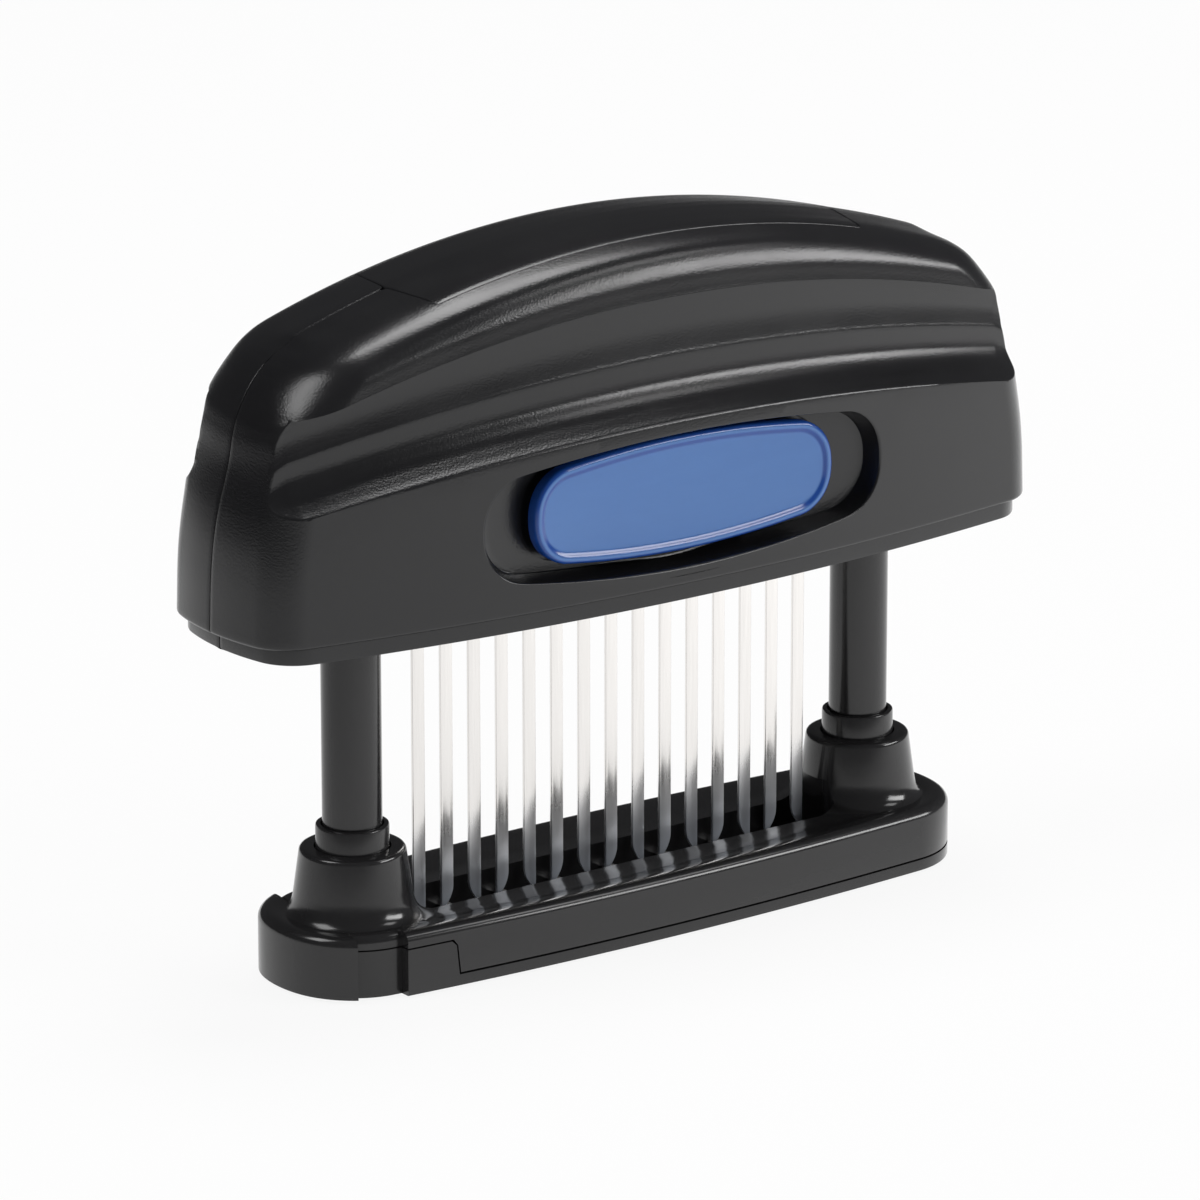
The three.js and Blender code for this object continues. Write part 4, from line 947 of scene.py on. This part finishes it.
def polished_plastic(name, dark, light, low, high, bump=0.05):
    """A smooth moulding between two tones and two roughnesses."""
    made, tree, shader = new_material(name)
    polish = use(tree, POLISH, 140.0)
    tree.links.new(toned(tree, polish.outputs["Marks"], dark, light), shader.inputs["Base Color"])
    tree.links.new(ranged(tree, polish.outputs["Marks"], low, high), shader.inputs["Roughness"])
    bumped(tree, shader, polish.outputs["Height"], bump, 0.0004)
    return made


def blue_plastic():
    """Clear blue, with painted shade: darker where the rim turns away from the face."""
    made, tree, shader = new_material("blue_plastic")
    polish = use(tree, POLISH, 160.0)
    normal = tree.nodes.new("ShaderNodeTexCoord").outputs["Normal"]
    split = node(tree, "ShaderNodeSeparateXYZ", Vector=normal)
    facing = node(tree, "ShaderNodeMath", set_operation="ABSOLUTE", i0=split.outputs["Y"])
    # Painted shade: faces turned away from the front or back get the darker blue, the flat face
    # the lighter one.
    flat = ranged(tree, facing.outputs[0], 0.0, 1.0, 0.93, 1.0)
    marks = ranged(tree, polish.outputs["Marks"], -0.06, 0.06)
    factor = node(tree, "ShaderNodeMath", set_operation="ADD", set_use_clamp=True,
                  i0=flat, i1=marks)
    tone = toned(tree, factor.outputs[0], (0.012, 0.068, 0.33), (0.078, 0.2, 0.5))
    tree.links.new(tone, shader.inputs["Base Color"])
    tree.links.new(ranged(tree, polish.outputs["Marks"], 0.13, 0.2), shader.inputs["Roughness"])
    bumped(tree, shader, polish.outputs["Height"], 0.06, 0.0004)
    return made


def metal(name, dark, light, low, high, scale, bump=0.04):
    """Drawn metal between two tones and two roughnesses."""
    made, tree, shader = new_material(name, 1.0)
    drawn = use(tree, DRAWN, scale)
    tree.links.new(toned(tree, drawn.outputs["Lines"], dark, light), shader.inputs["Base Color"])
    tree.links.new(ranged(tree, drawn.outputs["Lines"], low, high), shader.inputs["Roughness"])
    bumped(tree, shader, drawn.outputs["Lines"], bump, 0.00005)
    return made


def blade_metal():
    """Drawn lines, with painted shade: darker and bluer towards the tips, where the blades mirror
    the dark base, and rougher there.
    """
    made, tree, shader = new_material("blade_steel", 1.0)
    drawn = use(tree, DRAWN, 2400.0)
    rolled = toned(tree, drawn.outputs["Lines"], (0.72, 0.7, 0.68), (0.88, 0.86, 0.84))
    split = node(tree, "ShaderNodeSeparateXYZ", Vector=object_place(tree))
    # Painted shade: below 25 mm the colour turns darker and bluer, wholly at 9.5 mm; the roughness
    # rises there too.
    tip_shade_and_roughness = ranged(tree, split.outputs["Z"], 1.0, 0.0, 0.0095, 0.025)
    mixed = node(tree, "ShaderNodeMix", set_data_type="RGBA", Factor=tip_shade_and_roughness)
    tree.links.new(rolled, mixed.inputs["A"])
    mixed.inputs["B"].default_value = (0.5, 0.53, 0.58, 1)
    tree.links.new(mixed.outputs["Result"], shader.inputs["Base Color"])
    rough = ranged(tree, drawn.outputs["Lines"], 0.14, 0.24)
    matt = node(tree, "ShaderNodeMath", set_operation="MULTIPLY", i0=tip_shade_and_roughness, i1=0.42)
    both = node(tree, "ShaderNodeMath", set_operation="ADD", i0=rough, i1=matt.outputs[0])
    tree.links.new(both.outputs[0], shader.inputs["Roughness"])
    bumped(tree, shader, drawn.outputs["Lines"], 0.05, 0.00003)
    return made


satin = satin_plastic()
gloss = polished_plastic("black_gloss_plastic", (0.0165, 0.016, 0.0168), (0.021, 0.0205, 0.0212),
                        0.12, 0.2)
blue = blue_plastic()
white = polished_plastic("white_plastic", (0.62, 0.6, 0.54), (0.7, 0.68, 0.62), 0.42, 0.55,
                         0.12)
steel = blade_metal()
wire_steel = metal("spring_steel", (0.34, 0.34, 0.35), (0.5, 0.5, 0.5), 0.26, 0.4, 900.0)
zinc = metal("zinc_steel", (0.46, 0.47, 0.48), (0.62, 0.63, 0.62), 0.24, 0.38, 700.0)

for face in ("front", "back"):
    dress(make_shell(face), "handle", [f"{face}_shell"], satin)
    dress(make_button(face), f"button_{face}", [f"button_{face}"], blue)
    coil_piece = dress(make_button_coil(face), "handle", [f"button_spring_{face}"],
                       wire_steel)
    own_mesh(coil_piece)
dress(make_cover(), "cartridge", ["top_cover"], satin)
dress(make_base(), "base", ["base_frame"], gloss)
dress(make_plate(), "base", ["bottom_plate"], gloss)
dress(make_clip(), "end_clip", ["end_clip"], gloss)
for end, x in (("left", -COLUMN_X), ("right", COLUMN_X)):
    column = tool(turned(COLUMN, x), f"guide_column_{end}")
    dress(column, "base", [f"column_{end}"], gloss)
    collar = tool(turned(COLLAR, x), f"collar_{end}")
    dress(collar, "base", [f"column_collar_{end}"], gloss)
    coil_piece = dress(make_return_coil(end, x), "base", [f"return_spring_{end}"],
                       wire_steel)
    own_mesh(coil_piece)
for i in range(BLADES):
    dress(make_blade(i), "cartridge", [f"blade_{i + 1:02d}"], steel)

# The CAD nodes that are shown as they are
NODE_FINISH = {
    "column_cap": (white, "white_plastic"), "guide_bush": (white, "white_plastic"),
    "latch": (white, "white_plastic"), "carrier_rivet": (zinc, "fastener_steel"),
    "carrier": (white, "white_plastic"), "column_screw": (zinc, "fastener_steel"),
    "shell_screw": (zinc, "fastener_steel"), "spring_plunger": (zinc, "fastener_steel"),
}
for name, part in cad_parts.items():
    if part.hide_render:
        continue
    finish, slot = next(pair for key, pair in NODE_FINISH.items() if name.startswith(key))
    part.data.materials.clear()
    part.data.materials.append(finish)


# Stage, light and camera

def set_stage():
    """A white sheet that glows: white to the camera, and to reflections a painted light that is
    brighter towards the lit side and fainter far away.
    """
    bpy.ops.mesh.primitive_plane_add(size=30, location=(0, 0, -0.0005))
    floor = bpy.context.object
    floor.name = "floor"
    material, tree, shader = new_material("floor")
    shader.inputs["Base Color"].default_value = (0.9, 0.9, 0.9, 1)
    shader.inputs["Roughness"].default_value = 0.9
    shader.inputs["Specular IOR Level"].default_value = 0.0
    path = tree.nodes.new("ShaderNodeLightPath")
    split = node(tree, "ShaderNodeSeparateXYZ", Vector=object_place(tree))
    aside = node(tree, "ShaderNodeMath", set_operation="MULTIPLY", i0=split.outputs["Y"], i1=-0.1)
    across = node(tree, "ShaderNodeMath", set_operation="ADD", i0=split.outputs["X"],
                  i1=aside.outputs[0])
    # Painted light: the glow seen in reflections rises from 0.78 on the left to 1.7 towards the
    # lit right side.
    painted_light = ranged(tree, across.outputs[0], 0.78, 1.7, -0.25, 0.5)
    away = node(tree, "ShaderNodeVectorMath", set_operation="LENGTH", i0=object_place(tree))
    reach = ranged(tree, away.outputs["Value"], 1.0, 0.25, 0.5, 1.1)
    mirrored = node(tree, "ShaderNodeMath", set_operation="MULTIPLY", i0=painted_light, i1=reach)
    sheet = node(tree, "ShaderNodeMix", set_data_type="FLOAT",
                 Factor=path.outputs["Is Camera Ray"], A=mirrored.outputs[0], B=1.0)
    glow = node(tree, "ShaderNodeEmission", Strength=sheet.outputs["Result"])
    seen = node(tree, "ShaderNodeMath", set_operation="MAXIMUM", i0=path.outputs["Is Camera Ray"],
                i1=path.outputs["Is Glossy Ray"])
    share = node(tree, "ShaderNodeMath", set_operation="MULTIPLY", i0=seen.outputs[0], i1=0.9)
    mixed = node(tree, "ShaderNodeMixShader", Fac=share.outputs[0])
    tree.links.new(shader.outputs[0], mixed.inputs[1])
    tree.links.new(glow.outputs[0], mixed.inputs[2])
    tree.links.new(mixed.outputs[0], tree.nodes["Material Output"].inputs["Surface"])
    floor.data.materials.append(material)


def set_world():
    """A grey room, darker behind the object, that the camera sees as white."""
    world = bpy.data.worlds.new("studio")
    bpy.context.scene.world = world
    world.use_nodes = True
    tree = world.node_tree
    path = tree.nodes.new("ShaderNodeLightPath")
    towards = tree.nodes.new("ShaderNodeTexCoord").outputs["Generated"]
    split = node(tree, "ShaderNodeSeparateXYZ", Vector=towards)
    behind = ranged(tree, split.outputs["Y"], 0.0, 1.0, -0.1, 0.6)
    walls = toned(tree, behind, (0.15, 0.15, 0.155), (0.06, 0.06, 0.062))
    room = node(tree, "ShaderNodeMix", set_data_type="RGBA",
                Factor=path.outputs["Is Camera Ray"], A=walls)
    room.inputs["B"].default_value = (1, 1, 1, 1)
    tree.links.new(room.outputs["Result"], tree.nodes["Background"].inputs["Color"])


LIT_PLACE = Vector((0, 0, 0.1))


def softbox(name, turn, rise, far, size, glow):
    """A lamp that is turned from the front and raised by degrees, with its distance, size and
    brightness."""
    light = bpy.data.lights.new(name, "AREA")
    light.shape = "RECTANGLE"
    light.size, light.size_y = size
    light.energy = glow * math.pi * size[0] * size[1]
    lamp = bpy.data.objects.new(name, light)
    bpy.context.scene.collection.objects.link(lamp)
    turn, rise = math.radians(turn), math.radians(rise)
    level = math.cos(rise)
    away = Vector((math.sin(turn) * level, -math.cos(turn) * level, math.sin(rise)))
    lamp.location = away * far + LIT_PLACE
    lamp.rotation_euler = away.to_track_quat("Z", "Y").to_euler()


def set_lights():
    softbox("low_bar", 46, 17, 2.2, (1.35, 0.5), 10.0)
    softbox("front_card", 43, 41, 2.2, (0.7, 0.42), 4.0)
    softbox("overhead", 120, 72, 2.2, (1.15, 0.95), 7.5)
    softbox("left_panel", -102, 49, 2.0, (0.8, 0.9), 5.5)


SENSOR = 36
FOCAL = 7458.9 / 1200 * SENSOR
YAW, PITCH = math.radians(36.0), math.radians(17.0)
BACK_OFF = (1.928, 55.499, 1347.452)  # aside, up and back from the origin, in millimetres


def set_camera():
    camera = bpy.data.cameras.new("camera")
    camera.sensor_width = SENSOR
    camera.lens = FOCAL
    holder = bpy.data.objects.new("camera", camera)
    bpy.context.scene.collection.objects.link(holder)
    level = math.cos(PITCH)
    forward = Vector((math.sin(YAW) * level, math.cos(YAW) * level, -math.sin(PITCH)))
    right = Vector((math.cos(YAW), -math.sin(YAW), 0))
    up = right.cross(forward)
    place = -(right * BACK_OFF[0] - up * BACK_OFF[1] + forward * BACK_OFF[2]) * MM
    turn = Matrix((right, up, -forward)).transposed()
    holder.matrix_world = Matrix.Translation(place) @ turn.to_4x4()
    bpy.context.scene.camera = holder


set_stage()
set_world()
set_lights()
set_camera()
bpy.context.scene.view_settings.view_transform = "Standard"
